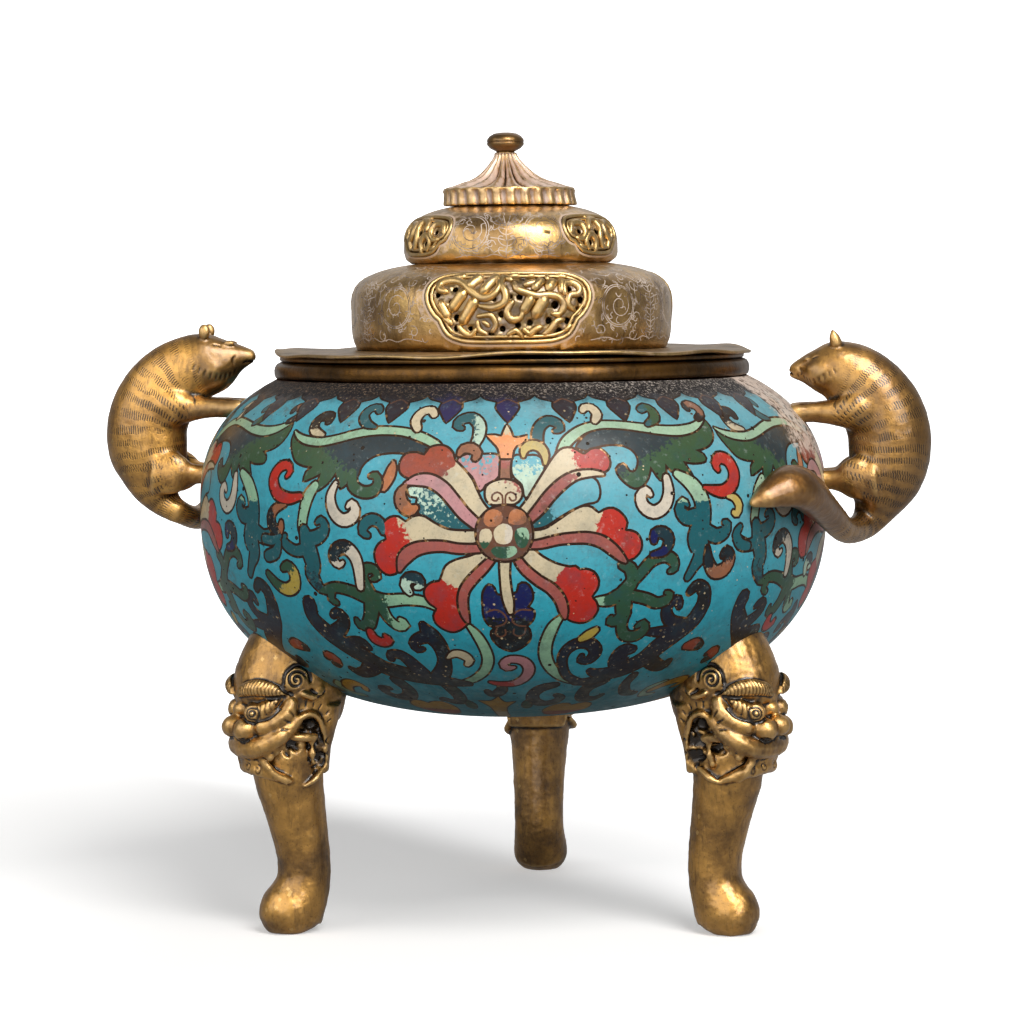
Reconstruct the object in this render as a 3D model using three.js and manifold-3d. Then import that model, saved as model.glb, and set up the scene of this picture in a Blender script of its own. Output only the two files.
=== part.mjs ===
// A cloisonne tripod incense burner with a pierced cover, in millimetres.
// +Z is up and the origin is on the ground, below the middle of the bowl. The handles are at +X and -X,
// and the back leg is at +Y. Every piece is a separate solid, as it would lie on a bench.
import * as THREE from "three";
import { mergeVertices } from "three/addons/utils/BufferGeometryUtils.js";
import Module from "manifold-3d";

const wasm = await Module();
wasm.setup();

// Clearances between pieces
const gap = 0.3; // between two pieces that seat on each other

// The enamelled copper bowl: two squared half ovals that meet at the widest line
const bowl = {
  radius: 100,
  groundClearance: 65,
  lowerDepth: 66,
  lowerSquareness: 2.42,
  upperHeight: 52.8,
  upperSquareness: 2.6,
  mouthRadius: 75.2,
  wall: 2.6,
};

// The gilt lip ring on the bowl's mouth, with a skirt inside it and a ledge for the liner
const lip = { height: 5.4, bulge: 0.4, skirtWall: 1.2, skirtDepth: 4.2, ledgeDepth: 2.5, ledgeWidth: 2.5 };

// The loose liner that holds the ash
const liner = { wall: 1.2, depth: 56, floorRadius: 44, cornerRadius: 14, flange: 1.2 };

// The three cast legs, each a lion mask over a round shank
const leg = {
  inset: 21.5, // of the foot's centre from the bowl's widest line
  soleRadius: 5,
  maskHeight: 44,
  maskDrop: 26, // of the crown's level below the bowl's widest line, at the leg's outer side
  tenonRadius: 3,
  tenonInset: 27,
};
const legTurns = { back: 89, front_left: 210, front_right: 332 };

// The two cast animal handles
const handle = {
  pawRadius: 3.3, pawSpread: 6, pinRadius: 1.5, earRadius: 2.4, earSpread: 5, foreRise: 29.8, hindRise: 9,
};
const handleSides = [
  { name: "right", turn: 0, lift: -0.9, reach: -1.5, neck: 0 },
  { name: "left", turn: 180, lift: 1.8, reach: -1.7, neck: 2.6 },
];

// A peened tenon or pin: its rove, which is a washer, and its head, as added radii and thicknesses
const rove = { overlap: 2.9, thickness: 1.2, headOverlap: 1.1, headHeight: 1.3 };

// The cover, from the lip upwards
const bezel = { wall: 1.5, shoulder: 3.2, shoulderHeight: 1.6, linerGap: 0.5 };
const flange = { overhang: 1.1, thickness: 1.2, opening: 46 };
const lowerDome = {
  radius: 51.2, bellyHeight: 11.6, footDrop: 28, crownRise: 16.3, squareness: 3.4, wall: 1.6, opening: 31,
};
const upperDome = {
  radius: 34.2, bellyHeight: 4, footDrop: 28, crownRise: 14.9, squareness: 3, wall: 1.5,
};
const canopy = {
  radius: 21.2, fringeHeight: 5.2, roofHeight: 11.4, neckRadius: 3.6, sweep: 2.5, wall: 1.6, ribs: 28,
  ribDepth: 0.7,
};
const finial = { radius: 5.95, height: 6.3, studRadius: 1.4, nutRadius: 3.4, nutHeight: 2.2 };

// The pierced panels that are let into the two domes
const lowerPanel = { count: 3, width: 54, height: 22, middle: 13.1, relief: 0.9, turn: -87, holeRadius: 1.1 };
const upperPanel = { count: 3, width: 29, height: 13, middle: 7.4, relief: 0.8, turn: -27, holeRadius: 1 };

// How finely the round pieces are cut
const turnSteps = 36;
const bowlPoints = 7;

// Colours, roughness and metalness of the three finishes
const gilt = new THREE.MeshStandardMaterial({ color: 0xb08a3e, roughness: 0.38, metalness: 1 });
const rubbedGilt = new THREE.MeshStandardMaterial({ color: 0xa68a5a, roughness: 0.45, metalness: 1 });
const enamel = new THREE.MeshStandardMaterial({ color: 0x2f9fb8, roughness: 0.22, metalness: 0 });
const copper = new THREE.MeshStandardMaterial({ color: 0x9a6238, roughness: 0.5, metalness: 1 });

const equatorZ = bowl.groundClearance + bowl.lowerDepth;

// A solid from a closed geometry
function solidOf(geometry) {
  const bare = new THREE.BufferGeometry();
  const flat = geometry.index ? geometry.toNonIndexed() : geometry;
  bare.setAttribute("position", flat.getAttribute("position").clone());
  const merged = mergeVertices(bare, 1e-4);
  const corners = merged.index.array;
  const kept = [];
  for (let i = 0; i < corners.length; i += 3) {
    const [a, b, c] = [corners[i], corners[i + 1], corners[i + 2]];
    if (a !== b && b !== c && c !== a) kept.push(a, b, c);
  }
  const mesh = new wasm.Mesh({
    numProp: 3,
    vertProperties: new Float32Array(merged.attributes.position.array),
    triVerts: new Uint32Array(kept),
  });
  return new wasm.Manifold(mesh);
}

function geometryOf(solid) {
  const mesh = solid.getMesh();
  const geometry = new THREE.BufferGeometry();
  const places = new Float32Array(mesh.numVert * 3);
  for (let i = 0; i < mesh.numVert; i++) {
    places.set(mesh.vertProperties.subarray(i * mesh.numProp, i * mesh.numProp + 3), i * 3);
  }
  geometry.setAttribute("position", new THREE.BufferAttribute(places, 3));
  geometry.setIndex(new THREE.BufferAttribute(mesh.triVerts, 1));
  const faceted = geometry.toNonIndexed();
  faceted.computeVertexNormals();
  return faceted;
}

function joined(solids) {
  return solids.reduce((whole, solid) => whole.add(solid));
}

// A closed profile of [radius, height] pairs turned about the Z axis.
// shape(angle, radius, height) may give a point another radius.
function turned(profile, steps = turnSteps, shape = null) {
  let area = 0;
  profile.forEach(([r, z], i) => {
    const [nextR, nextZ] = profile[(i + 1) % profile.length];
    area += r * nextZ - nextR * z;
  });
  const ordered = area > 0 ? profile : [...profile].reverse();
  const closed = [...ordered, ordered[0]].map(([r, z]) => new THREE.Vector2(r, z));
  const geometry = new THREE.LatheGeometry(closed, steps);
  geometry.rotateX(Math.PI / 2);
  if (shape) {
    const places = geometry.getAttribute("position");
    for (let i = 0; i < places.count; i++) {
      const [x, y, z] = [places.getX(i), places.getY(i), places.getZ(i)];
      const radius = Math.hypot(x, y);
      const moved = shape(Math.atan2(y, x), radius, z);
      if (radius > 1e-6) places.setXYZ(i, (x * moved) / radius, (y * moved) / radius, z);
    }
  }
  return solidOf(geometry);
}

// A smooth closed body through elliptical rings: each is { at, along, across } with half sizes,
// where across is measured along the side direction and along at right angles to it
function lofted(rings, sides, side) {
  const places = [];
  const faces = [];
  let across = side.clone();
  rings.forEach((ring, i) => {
    const before = rings[Math.max(0, i - 1)].at;
    const after = rings[Math.min(rings.length - 1, i + 1)].at;
    const tangent = after.clone().sub(before).normalize();
    across = across.clone().addScaledVector(tangent, -across.dot(tangent)).normalize();
    const along = across.clone().cross(tangent).normalize();
    for (let k = 0; k < sides; k++) {
      const angle = (2 * Math.PI * k) / sides;
      const place = ring.at.clone();
      place.addScaledVector(along, ring.along * Math.cos(angle));
      place.addScaledVector(across, ring.across * Math.sin(angle));
      places.push(place.x, place.y, place.z);
    }
  });
  for (let i = 0; i + 1 < rings.length; i++) {
    for (let k = 0; k < sides; k++) {
      const a = i * sides + k;
      const b = i * sides + ((k + 1) % sides);
      faces.push(a, b, b + sides, a, b + sides, a + sides);
    }
  }
  const last = (rings.length - 1) * sides;
  for (let k = 1; k + 1 < sides; k++) {
    faces.push(0, k + 1, k);
    faces.push(last, last + k, last + k + 1);
  }
  const geometry = new THREE.BufferGeometry();
  geometry.setAttribute("position", new THREE.BufferAttribute(new Float32Array(places), 3));
  geometry.setIndex(faces);
  const solid = solidOf(geometry);
  if (solid.volume() > 0) return solid;
  const turnedRound = faces.map((_, i) => faces[i - (i % 3) + (2 - (i % 3))]);
  geometry.setIndex(turnedRound);
  return solidOf(geometry);
}

// More rings between the given ones, on a smooth curve through them
function smoothRings(stations, count) {
  const curve = new THREE.CatmullRomCurve3(stations.map((s) => s.at), false, "centripetal");
  const sizes = new THREE.CatmullRomCurve3(
    stations.map((s) => new THREE.Vector3(s.along, s.across, 0)), false, "catmullrom", 0.5,
  );
  return Array.from({ length: count }, (_, i) => {
    const t = i / (count - 1);
    const size = sizes.getPoint(t);
    return { at: curve.getPoint(t), along: Math.max(size.x, 0.3), across: Math.max(size.y, 0.3) };
  });
}

function ball(middle, sizes, steps = 7) {
  const geometry = new THREE.SphereGeometry(1, steps, steps - 3);
  geometry.scale(...sizes);
  geometry.translate(...middle);
  return solidOf(geometry);
}

// A round rod from one point to another
function rod(from, to, radius, steps = 8) {
  const geometry = new THREE.CylinderGeometry(radius, radius, from.distanceTo(to), steps);
  const turn = new THREE.Quaternion().setFromUnitVectors(
    new THREE.Vector3(0, 1, 0), to.clone().sub(from).normalize(),
  );
  geometry.applyQuaternion(turn);
  const middle = from.clone().add(to).multiplyScalar(0.5);
  geometry.translate(middle.x, middle.y, middle.z);
  return solidOf(geometry);
}

// The radius of the bowl's outer face at a height, and the outline of that face moved out by offset
function bowlRadiusAt(z, offset = 0) {
  const above = z > equatorZ;
  const reach = (above ? bowl.upperHeight : bowl.lowerDepth) + offset;
  const power = above ? bowl.upperSquareness : bowl.lowerSquareness;
  const share = Math.min(1, Math.abs(z - equatorZ) / reach);
  return (bowl.radius + offset) * (1 - share ** power) ** (1 / power);
}

function bowlHeightAt(radius, above, offset = 0) {
  const reach = (above ? bowl.upperHeight : bowl.lowerDepth) + offset;
  const power = above ? bowl.upperSquareness : bowl.lowerSquareness;
  const share = Math.min(1, radius / (bowl.radius + offset));
  const rise = reach * (1 - share ** power) ** (1 / power);
  return above ? equatorZ + rise : equatorZ - rise;
}

const mouthZ = bowlHeightAt(bowl.mouthRadius, true);
const innerMouthRadius = bowl.mouthRadius - bowl.wall;

// Points from the bottom of the bowl up to its mouth, evenly spaced round the oval
function bowlOutline(offset, points, mouthRadius) {
  const outline = [];
  for (let i = 0; i <= points; i++) {
    const angle = (Math.PI / 2) * (i / points);
    const power = bowl.lowerSquareness;
    const r = (bowl.radius + offset) * Math.sin(angle) ** (2 / power);
    outline.push([r, bowlHeightAt(r, false, offset)]);
  }
  for (let i = 1; i <= points; i++) {
    const rise = bowlHeightAt(mouthRadius, true, offset) - equatorZ;
    const height = equatorZ + rise * Math.sin((Math.PI * i) / points / 2);
    outline.push([i === points ? mouthRadius : bowlRadiusAt(height, offset), height]);
  }
  return outline;
}

// The bowl's outside as a full body, larger by the seating gap, for cutting what bears on it
function bowlCutter() {
  const outline = bowlOutline(gap, bowlPoints, bowl.mouthRadius);
  const top = outline[outline.length - 1][1];
  return turned([...outline, [0, top]]);
}

// A point on the bowl's outer face, with the outward direction there
function bowlSpot(azimuth, z) {
  const step = 0.5;
  const slope = (bowlRadiusAt(z + step) - bowlRadiusAt(z - step)) / (2 * step);
  const outward = new THREE.Vector3(Math.cos(azimuth), Math.sin(azimuth), -slope).normalize();
  const r = bowlRadiusAt(z);
  return { at: new THREE.Vector3(r * Math.cos(azimuth), r * Math.sin(azimuth), z), outward };
}

// How far below its outer face the bowl's inner face lies, straight in from a spot
function wallDepth(spot) {
  const step = 0.05;
  let depth = bowl.wall / 2;
  const inner = new THREE.Vector3();
  do {
    depth += step;
    inner.copy(spot.at).addScaledVector(spot.outward, -depth);
  } while (Math.hypot(inner.x, inner.y) > bowlRadiusAt(inner.z, -bowl.wall) && depth < bowl.radius);
  return depth;
}

// The bowl's hollow as a full body, smaller by the seating gap, for trimming what bears on the wall inside
function hollowCutter() {
  const outline = bowlOutline(-bowl.wall - gap, bowlPoints - 2, innerMouthRadius - gap);
  const top = outline[outline.length - 1][1];
  return turned([...outline, [0, top]]);
}

// A pin that stands in a cast piece, passes through the bowl's wall and is peened over a rove inside
function fixing(spot, radius, rootDepth) {
  const along = (distance) => spot.at.clone().addScaledVector(spot.outward, distance);
  const wallInner = -wallDepth(spot);
  const roveInner = wallInner - gap - rove.thickness;
  const headOuter = roveInner - gap;
  const pin = rod(along(rootDepth), along(headOuter - rove.headHeight), radius);
  const head = rod(along(headOuter), along(headOuter - rove.headHeight), radius + rove.headOverlap);
  const disc = rod(along(wallInner / 2), along(roveInner), radius + rove.overlap);
  const bore = rod(along(rootDepth), along(headOuter - rove.headHeight), radius + gap);
  return { pin: pin.add(head), rove: disc.intersect(hollow).subtract(bore), bore };
}

// The legs, each made at +X and turned to its place
function legSolid() {
  const footRadius = bowl.radius - leg.inset;
  const crownZ = equatorZ - leg.maskDrop - leg.inset * 0.7;
  const chinZ = crownZ - leg.maskHeight;
  const station = (out, z, along, across) => ({
    at: new THREE.Vector3(footRadius + out, 0, z), along, across,
  });
  const shank = smoothRings(
    [
      station(0.5, 0, leg.soleRadius, leg.soleRadius),
      station(0.5, 1.6, 7.8, 7.4),
      station(0, 5.5, 10, 9),
      station(-2.2, 10.5, 9.6, 9),
      station(-5, 18, 8.4, 8.4),
      station(-4.4, 28, 8.6, 8.6),
      station(-1.6, chinZ - 4, 10, 9.6),
      station(-0.3, chinZ + 3, 11, 10.4),
      station(0, chinZ + 8, 11, 10.4),
    ],
    13,
  );
  const mask = smoothRings(
    [
      station(-0.6, chinZ, 11.4, 11),
      station(0, chinZ + 5, 14, 12.6),
      station(0.8, chinZ + 14, 16.4, 14.6),
      station(0.6, chinZ + 22, 18.4, 15.8),
      station(0, chinZ + 30, 18.8, 15.8),
      station(0.6, chinZ + 38, 15.6, 13.6),
      station(1.6, crownZ + 3, 8.4, 8.6),
    ],
    8,
  );
  const faceZ = chinZ + 17;
  const features = [
    ball([footRadius + 17.1, 0, faceZ], [4.2, 4.6, 4]), // nose
    ball([footRadius + 13.5, 0, faceZ - 6.4], [5.4, 8.4, 3.6]), // upper lip
    ball([footRadius + 9.5, 0, faceZ - 13.2], [5, 8, 3.4]), // chin
  ];
  for (const way of [-1, 1]) {
    features.push(ball([footRadius + 13.2, way * 8, faceZ + 12.4], [4.6, 6, 3.2])); // brow
    features.push(ball([footRadius + 14, way * 7, faceZ + 6], [3, 3.2, 3.2])); // eye
    features.push(ball([footRadius + 8, way * 12.4, faceZ - 3], [7, 3.6, 6.4])); // cheek
    features.push(ball([footRadius - 2, way * 14.8, faceZ + 15], [4.6, 3, 4.6])); // ear curl
  }
  const side = new THREE.Vector3(0, 1, 0);
  const ground = new THREE.BoxGeometry(60, 60, 20);
  ground.translate(footRadius, 0, -10);
  return joined([lofted(shank, 10, side), lofted(mask, 12, side), ...features]).subtract(solidOf(ground));
}

function legFixing() {
  const z = bowlHeightAt(bowl.radius - leg.tenonInset, false);
  return fixing(bowlSpot(0, z), leg.tenonRadius, 9);
}

// The animal that forms a handle, made at +X, climbing the bowl with its head over the shoulder
function handleSolid({ lift, reach, neck }) {
  const side = new THREE.Vector3(0, 1, 0);
  // out from the widest line, up from it, half sizes in the plane of the body and across it, and sideways
  const station = (out, rise, along, across, sideways = 0) => ({
    at: new THREE.Vector3(bowl.radius + reach + out, sideways, equatorZ + lift + rise), along, across,
  });
  // out from the wall, degrees round the bowl, up from the widest line
  const wrapped = (out, degrees, rise, along, across) => {
    const z = equatorZ + lift + rise;
    const r = bowlRadiusAt(z) + out;
    const angle = THREE.MathUtils.degToRad(degrees);
    return { at: new THREE.Vector3(r * Math.cos(angle), r * Math.sin(angle), z), along, across };
  };
  const head = (out, rise, along, across) => station(out - neck * (1 - (out + 11) / 22), rise, along, across);
  const trunk = [
    head(-10.4, 43.6, 1.4, 1.8),
    head(-6.8, 44.4, 3.8, 4),
    head(-1.4, 44.8, 7.2, 6.4),
    head(4.6, 43.6, 9.6, 8),
    head(11.4, 39.6, 11.8, 9),
    station(17, 33.6, 12.7, 10),
    station(20.8, 26.2, 13.2, 10.6),
    station(21.6, 18.4, 13.2, 10.8),
    station(20.4, 10.8, 12.2, 10.6),
    station(18.2, 3.8, 9.8, 9.2),
    station(16, -2, 6.4, 6.4),
    station(12.6, -6, 4.6, 4.8, -3),
    wrapped(7.4, -9.5, -6.2, 4, 4.2),
    wrapped(6, -20, 1, 4.8, 4.8),
    wrapped(6.8, -31, 9.6, 7.6, 6),
    wrapped(4, -37.4, 7.6, 4.6, 3.4),
    wrapped(1.8, -41, 4.8, 1.2, 1),
  ];
  const pieces = [lofted(smoothRings(trunk, 23), 10, side)];
  for (const way of [-1, 1]) {
    const limb = (stations) => lofted(smoothRings(stations, 5), 7, side);
    const paw = (rise, radius) => {
      const z = equatorZ + lift + rise;
      const at = new THREE.Vector3(bowlRadiusAt(z) - 3, way * handle.pawSpread, z);
      return { at, along: radius, across: radius };
    };
    const { foreRise, hindRise, pawRadius } = handle;
    const fore = [
      station(16, foreRise - 1, 6.5, 4.6, way * 5.6),
      station(7, foreRise, 4.6, 4, way * handle.pawSpread),
      station(-2, foreRise + 0.4, pawRadius, pawRadius, way * handle.pawSpread),
      paw(foreRise, pawRadius),
    ];
    const hind = [
      station(17, hindRise + 0.6, 8, 5.4, way * 6.4),
      station(9.5, hindRise - 0.2, 5, 4.4, way * 6.6),
      station(3, hindRise, pawRadius, pawRadius, way * handle.pawSpread),
      paw(hindRise, pawRadius - 0.4),
    ];
    pieces.push(limb(fore), limb(hind));
    const ear = head(3.6, 53.4, 0, 0).at;
    pieces.push(ball([ear.x, way * handle.earSpread, ear.z], [handle.earRadius, 1.8, handle.earRadius + 1]));
  }
  return joined(pieces);
}

// The four pins of a handle at +X, in the middles of its paws
function handleFixings(lift) {
  const fixings = [];
  for (const way of [-1, 1]) {
    for (const [paw, rise] of [["fore", handle.foreRise], ["hind", handle.hindRise]]) {
      const z = equatorZ + lift + rise;
      const azimuth = Math.asin((way * handle.pawSpread) / bowlRadiusAt(z));
      const name = `${paw}_${way < 0 ? "a" : "b"}`;
      fixings.push({ name, ...fixing(bowlSpot(azimuth, z), handle.pinRadius, 4) });
    }
  }
  return fixings;
}

function lipSolid() {
  const outer = bowl.mouthRadius + bowl.wall * 0.1;
  const bore = innerMouthRadius - gap - lip.skirtWall;
  const ledge = bore - lip.ledgeWidth;
  const at = (height) => mouthZ + height;
  return turned([
    [bore + lip.skirtWall, at(gap)],
    [outer, at(gap)],
    [outer + lip.bulge * 0.9, at(lip.height * 0.3)],
    [outer + lip.bulge, at(lip.height * 0.55)],
    [outer, at(lip.height * 0.87)],
    [outer - 1.8, at(lip.height)],
    [bore + 0.8, at(lip.height)],
    [bore, at(lip.height - 0.8)],
    [bore, at(-lip.ledgeDepth)],
    [ledge, at(-lip.ledgeDepth)],
    [ledge, at(-lip.skirtDepth)],
    [bore + lip.skirtWall, at(-lip.skirtDepth)],
  ]);
}

const lipBore = innerMouthRadius - gap - lip.skirtWall;
const linerTopZ = mouthZ - lip.ledgeDepth + gap + liner.flange;

function linerSolid() {
  const rim = lipBore - gap;
  const side = lipBore - lip.ledgeWidth - gap;
  const floorZ = linerTopZ - liner.depth;
  const corner = [];
  const inner = [];
  for (let i = 0; i <= 3; i++) {
    const angle = (Math.PI / 2) * (i / 3);
    const run = side - liner.floorRadius;
    const height = floorZ + liner.cornerRadius * (1 - Math.cos(angle));
    corner.push([liner.floorRadius + run * Math.sin(angle), height]);
    inner.push([liner.floorRadius + (run - liner.wall) * Math.sin(angle), height + liner.wall]);
  }
  return turned([
    [0, floorZ],
    ...corner,
    [side, linerTopZ - liner.flange],
    [rim, linerTopZ - liner.flange],
    [rim, linerTopZ],
    [side - liner.wall, linerTopZ],
    ...inner.reverse(),
    [0, floorZ + liner.wall],
  ]);
}

// The cover's levels, each from the one below it
const seatZ = mouthZ + lip.height + gap;
const flangeZ = seatZ + bezel.shoulderHeight + gap;
const lowerFootZ = flangeZ + flange.thickness + gap;
const lowerBellyZ = lowerFootZ + lowerDome.bellyHeight;

// The radius and the height of a dome's outer face, moved in by inset
function domeRadiusAt(dome, bellyZ, z, inset = 0) {
  const reach = (z > bellyZ ? dome.crownRise : dome.footDrop) - (z > bellyZ ? inset : 0);
  const share = Math.min(1, Math.abs(z - bellyZ) / reach);
  return (dome.radius - inset) * (1 - share ** dome.squareness) ** (1 / dome.squareness);
}

function domeHeightAt(dome, bellyZ, radius, inset = 0) {
  const share = Math.min(1, radius / (dome.radius - inset));
  return bellyZ + (dome.crownRise - inset) * (1 - share ** dome.squareness) ** (1 / dome.squareness);
}

const upperFootZ = domeHeightAt(lowerDome, lowerBellyZ, upperDome.radius - upperDome.wall) + gap;
const upperBellyZ = upperFootZ + upperDome.bellyHeight;

function domeOutline(dome, bellyZ, footZ, inset, opening) {
  const outline = [];
  for (const share of [0, 0.5, 1]) {
    const z = footZ + (bellyZ - footZ) * share;
    outline.push([domeRadiusAt(dome, bellyZ, z, inset), z]);
  }
  const topShare = opening / (dome.radius - inset);
  for (let i = 1; i <= 5; i++) {
    const angle = (Math.PI / 2) * (i / 5);
    const share = topShare + (1 - topShare) * Math.cos(angle) ** (2 / dome.squareness);
    const r = (dome.radius - inset) * share;
    outline.push([r, domeHeightAt(dome, bellyZ, r, inset)]);
  }
  return outline;
}

function domeShell(dome, bellyZ, footZ, opening, relief = 0) {
  const outer = domeOutline(dome, bellyZ, footZ, -relief, opening);
  const inner = domeOutline(dome, bellyZ, footZ, dome.wall, opening);
  return turned([...outer, ...inner.reverse()]);
}

// The lobed outline of a pierced panel, as a prism that stands out along +X
function cartouche(panel, grow) {
  const halfWidth = panel.width / 2 + grow;
  const halfHeight = panel.height / 2 + grow;
  const lobe = halfHeight * 0.62;
  const shape = new THREE.Shape();
  shape.moveTo(-halfWidth + lobe * 1.5, -halfHeight);
  shape.lineTo(halfWidth - lobe * 1.5, -halfHeight);
  shape.quadraticCurveTo(halfWidth - lobe * 0.5, -halfHeight, halfWidth - lobe * 0.4, -halfHeight * 0.3);
  shape.quadraticCurveTo(halfWidth, -halfHeight * 0.1, halfWidth, halfHeight * 0.25);
  shape.quadraticCurveTo(halfWidth - lobe * 0.2, halfHeight, halfWidth - lobe * 1.6, halfHeight);
  shape.lineTo(-halfWidth + lobe * 1.6, halfHeight);
  shape.quadraticCurveTo(-halfWidth + lobe * 0.2, halfHeight, -halfWidth, halfHeight * 0.25);
  shape.quadraticCurveTo(-halfWidth, -halfHeight * 0.1, -halfWidth + lobe * 0.4, -halfHeight * 0.3);
  shape.quadraticCurveTo(-halfWidth + lobe * 0.5, -halfHeight, -halfWidth + lobe * 1.5, -halfHeight);
  const geometry = new THREE.ExtrudeGeometry(shape, { depth: 80, bevelEnabled: false, curveSegments: 3 });
  geometry.rotateY(Math.PI / 2);
  geometry.rotateX(Math.PI / 2);
  return solidOf(geometry);
}

// Rows of smoke holes inside a panel's outline, as one cutter along +X
function smokeHoles(panel, rows, columns) {
  const holes = [];
  for (let row = 0; row < rows; row++) {
    const height = panel.height * (rows > 1 ? 0.5 * (row / (rows - 1) - 0.5) : 0);
    const count = columns - (row % 2);
    for (let i = 0; i < count; i++) {
      const across = panel.width * 0.68 * ((i + 0.5) / count - 0.5);
      const from = new THREE.Vector3(1, across, height);
      holes.push(rod(from, from.clone().setX(80), panel.holeRadius, 6));
    }
  }
  return joined(holes);
}

function panelAngles(panel) {
  return Array.from({ length: panel.count }, (_, i) => panel.turn + (360 / panel.count) * i);
}

// A dome with its windows, and the panels that fill them
function piercedDome(dome, panel, bellyZ, footZ, opening, rows, columns) {
  const shell = domeShell(dome, bellyZ, footZ, opening);
  const raised = domeShell(dome, bellyZ, footZ, opening, panel.relief);
  const middle = footZ + panel.middle;
  const window = cartouche(panel, gap).translate([0, 0, middle]);
  const filling = cartouche(panel, 0).translate([0, 0, middle]);
  const holes = smokeHoles(panel, rows, columns).translate([0, 0, middle]);
  let pierced = shell;
  const panels = panelAngles(panel).map((angle) => {
    pierced = pierced.subtract(window.rotate([0, 0, angle]));
    return raised.intersect(filling.rotate([0, 0, angle])).subtract(holes.rotate([0, 0, angle]));
  });
  return { pierced, panels };
}

function bezelSolid() {
  const outer = lipBore - gap;
  const tongueZ = linerTopZ + bezel.linerGap;
  return turned([
    [outer, tongueZ],
    [outer, seatZ],
    [outer + bezel.shoulder, seatZ],
    [outer + bezel.shoulder, seatZ + bezel.shoulderHeight],
    [outer - bezel.wall, seatZ + bezel.shoulderHeight],
    [outer - bezel.wall, tongueZ],
  ]);
}

const flangeRadius = bowl.mouthRadius + lip.bulge + flange.overhang;

function flangeSolid() {
  const [bottom, top] = [flangeZ, flangeZ + flange.thickness];
  return turned([
    [flange.opening, bottom],
    [flangeRadius - 0.4, bottom],
    [flangeRadius, (bottom + top) / 2],
    [flangeRadius - 0.4, top],
    [flange.opening, top],
  ]);
}

// The fluted canopy: a ribbed fringe under a hollow roof that sweeps up to a neck
const fringeInner = canopy.radius - canopy.wall;
const canopyFootZ = domeHeightAt(upperDome, upperBellyZ, fringeInner - canopy.ribDepth) + gap;
const fringeTopZ = canopyFootZ + canopy.fringeHeight;
const neckZ = fringeTopZ + canopy.roofHeight;

function canopySolid() {
  const run = canopy.radius - canopy.neckRadius;
  const roof = [0.2, 0.45, 0.7, 0.88].map((share) => [
    canopy.radius - run * share, fringeTopZ + canopy.roofHeight * share ** canopy.sweep,
  ]);
  const bore = finial.studRadius + gap;
  const underRoof = canopyFootZ + canopy.fringeHeight - canopy.wall;
  const ribbed = (angle, radius, z) =>
    radius > canopy.radius - 0.01 && z < fringeTopZ + 0.01
      ? radius - canopy.ribDepth * (0.5 - 0.5 * Math.cos(angle * canopy.ribs))
      : radius;
  return turned([
    [fringeInner, canopyFootZ],
    [canopy.radius, canopyFootZ],
    [canopy.radius, fringeTopZ],
    ...roof,
    [canopy.neckRadius, neckZ],
    [bore, neckZ],
    [bore, underRoof + 2],
    [fringeInner, underRoof],
  ], canopy.ribs * 2, ribbed);
}

function finialSolid() {
  const base = neckZ + gap;
  const lowest = upperBellyZ + upperDome.crownRise - upperDome.wall - gap - finial.nutHeight - 1;
  const at = (share) => base + finial.height * share;
  return turned([
    [0, lowest],
    [finial.studRadius, lowest],
    [finial.studRadius, base],
    [canopy.neckRadius, base],
    [finial.radius * 0.72, at(0.14)],
    [finial.radius, at(0.42)],
    [finial.radius * 0.97, at(0.62)],
    [finial.radius * 0.72, at(0.9)],
    [finial.radius * 0.4, at(1)],
    [0, at(1)],
  ], 20);
}

function nutSolid() {
  const top = upperBellyZ + upperDome.crownRise - upperDome.wall - gap;
  const corner = Math.cos(Math.PI / 6);
  const bore = (finial.studRadius + gap) / corner;
  return turned([
    [bore, top - finial.nutHeight], [finial.nutRadius, top - finial.nutHeight],
    [finial.nutRadius, top], [bore, top],
  ], 6);
}

// The whole burner
const burner = new THREE.Group();
burner.name = "incense_burner";

function place(name, solid, material) {
  const mesh = new THREE.Mesh(geometryOf(solid), material);
  mesh.name = name;
  burner.add(mesh);
}

const cutter = bowlCutter();
const hollow = hollowCutter();
const bores = [];

for (const mounting of handleSides) {
  const { name, turn, lift } = mounting;
  const pins = handleFixings(lift);
  const cast = joined([handleSolid(mounting).subtract(cutter), ...pins.map((part) => part.pin)]);
  place(`handle_${name}`, cast.rotate([0, 0, turn]), gilt);
  for (const part of pins) {
    place(`${name}_${part.name}_paw_rove`, part.rove.rotate([0, 0, turn]), gilt);
    bores.push(part.bore.rotate([0, 0, turn]));
  }
}

const tenon = legFixing();
const legCast = legSolid().subtract(cutter).add(tenon.pin);
for (const [name, turn] of Object.entries(legTurns)) {
  place(`leg_${name}`, legCast.rotate([0, 0, turn]), gilt);
  place(`leg_rove_${name}`, tenon.rove.rotate([0, 0, turn]), gilt);
  bores.push(tenon.bore.rotate([0, 0, turn]));
}

const outerFace = bowlOutline(0, bowlPoints, bowl.mouthRadius);
const innerFace = bowlOutline(-bowl.wall, bowlPoints - 2, innerMouthRadius);
innerFace[innerFace.length - 1][1] = mouthZ;
const bowlBlank = turned([...outerFace, ...innerFace.reverse()]);
place("enamelled_bowl", bores.reduce((left, bore) => left.subtract(bore), bowlBlank), enamel);

place("lip_ring", lipSolid(), gilt);
place("ash_liner", linerSolid(), copper);

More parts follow.
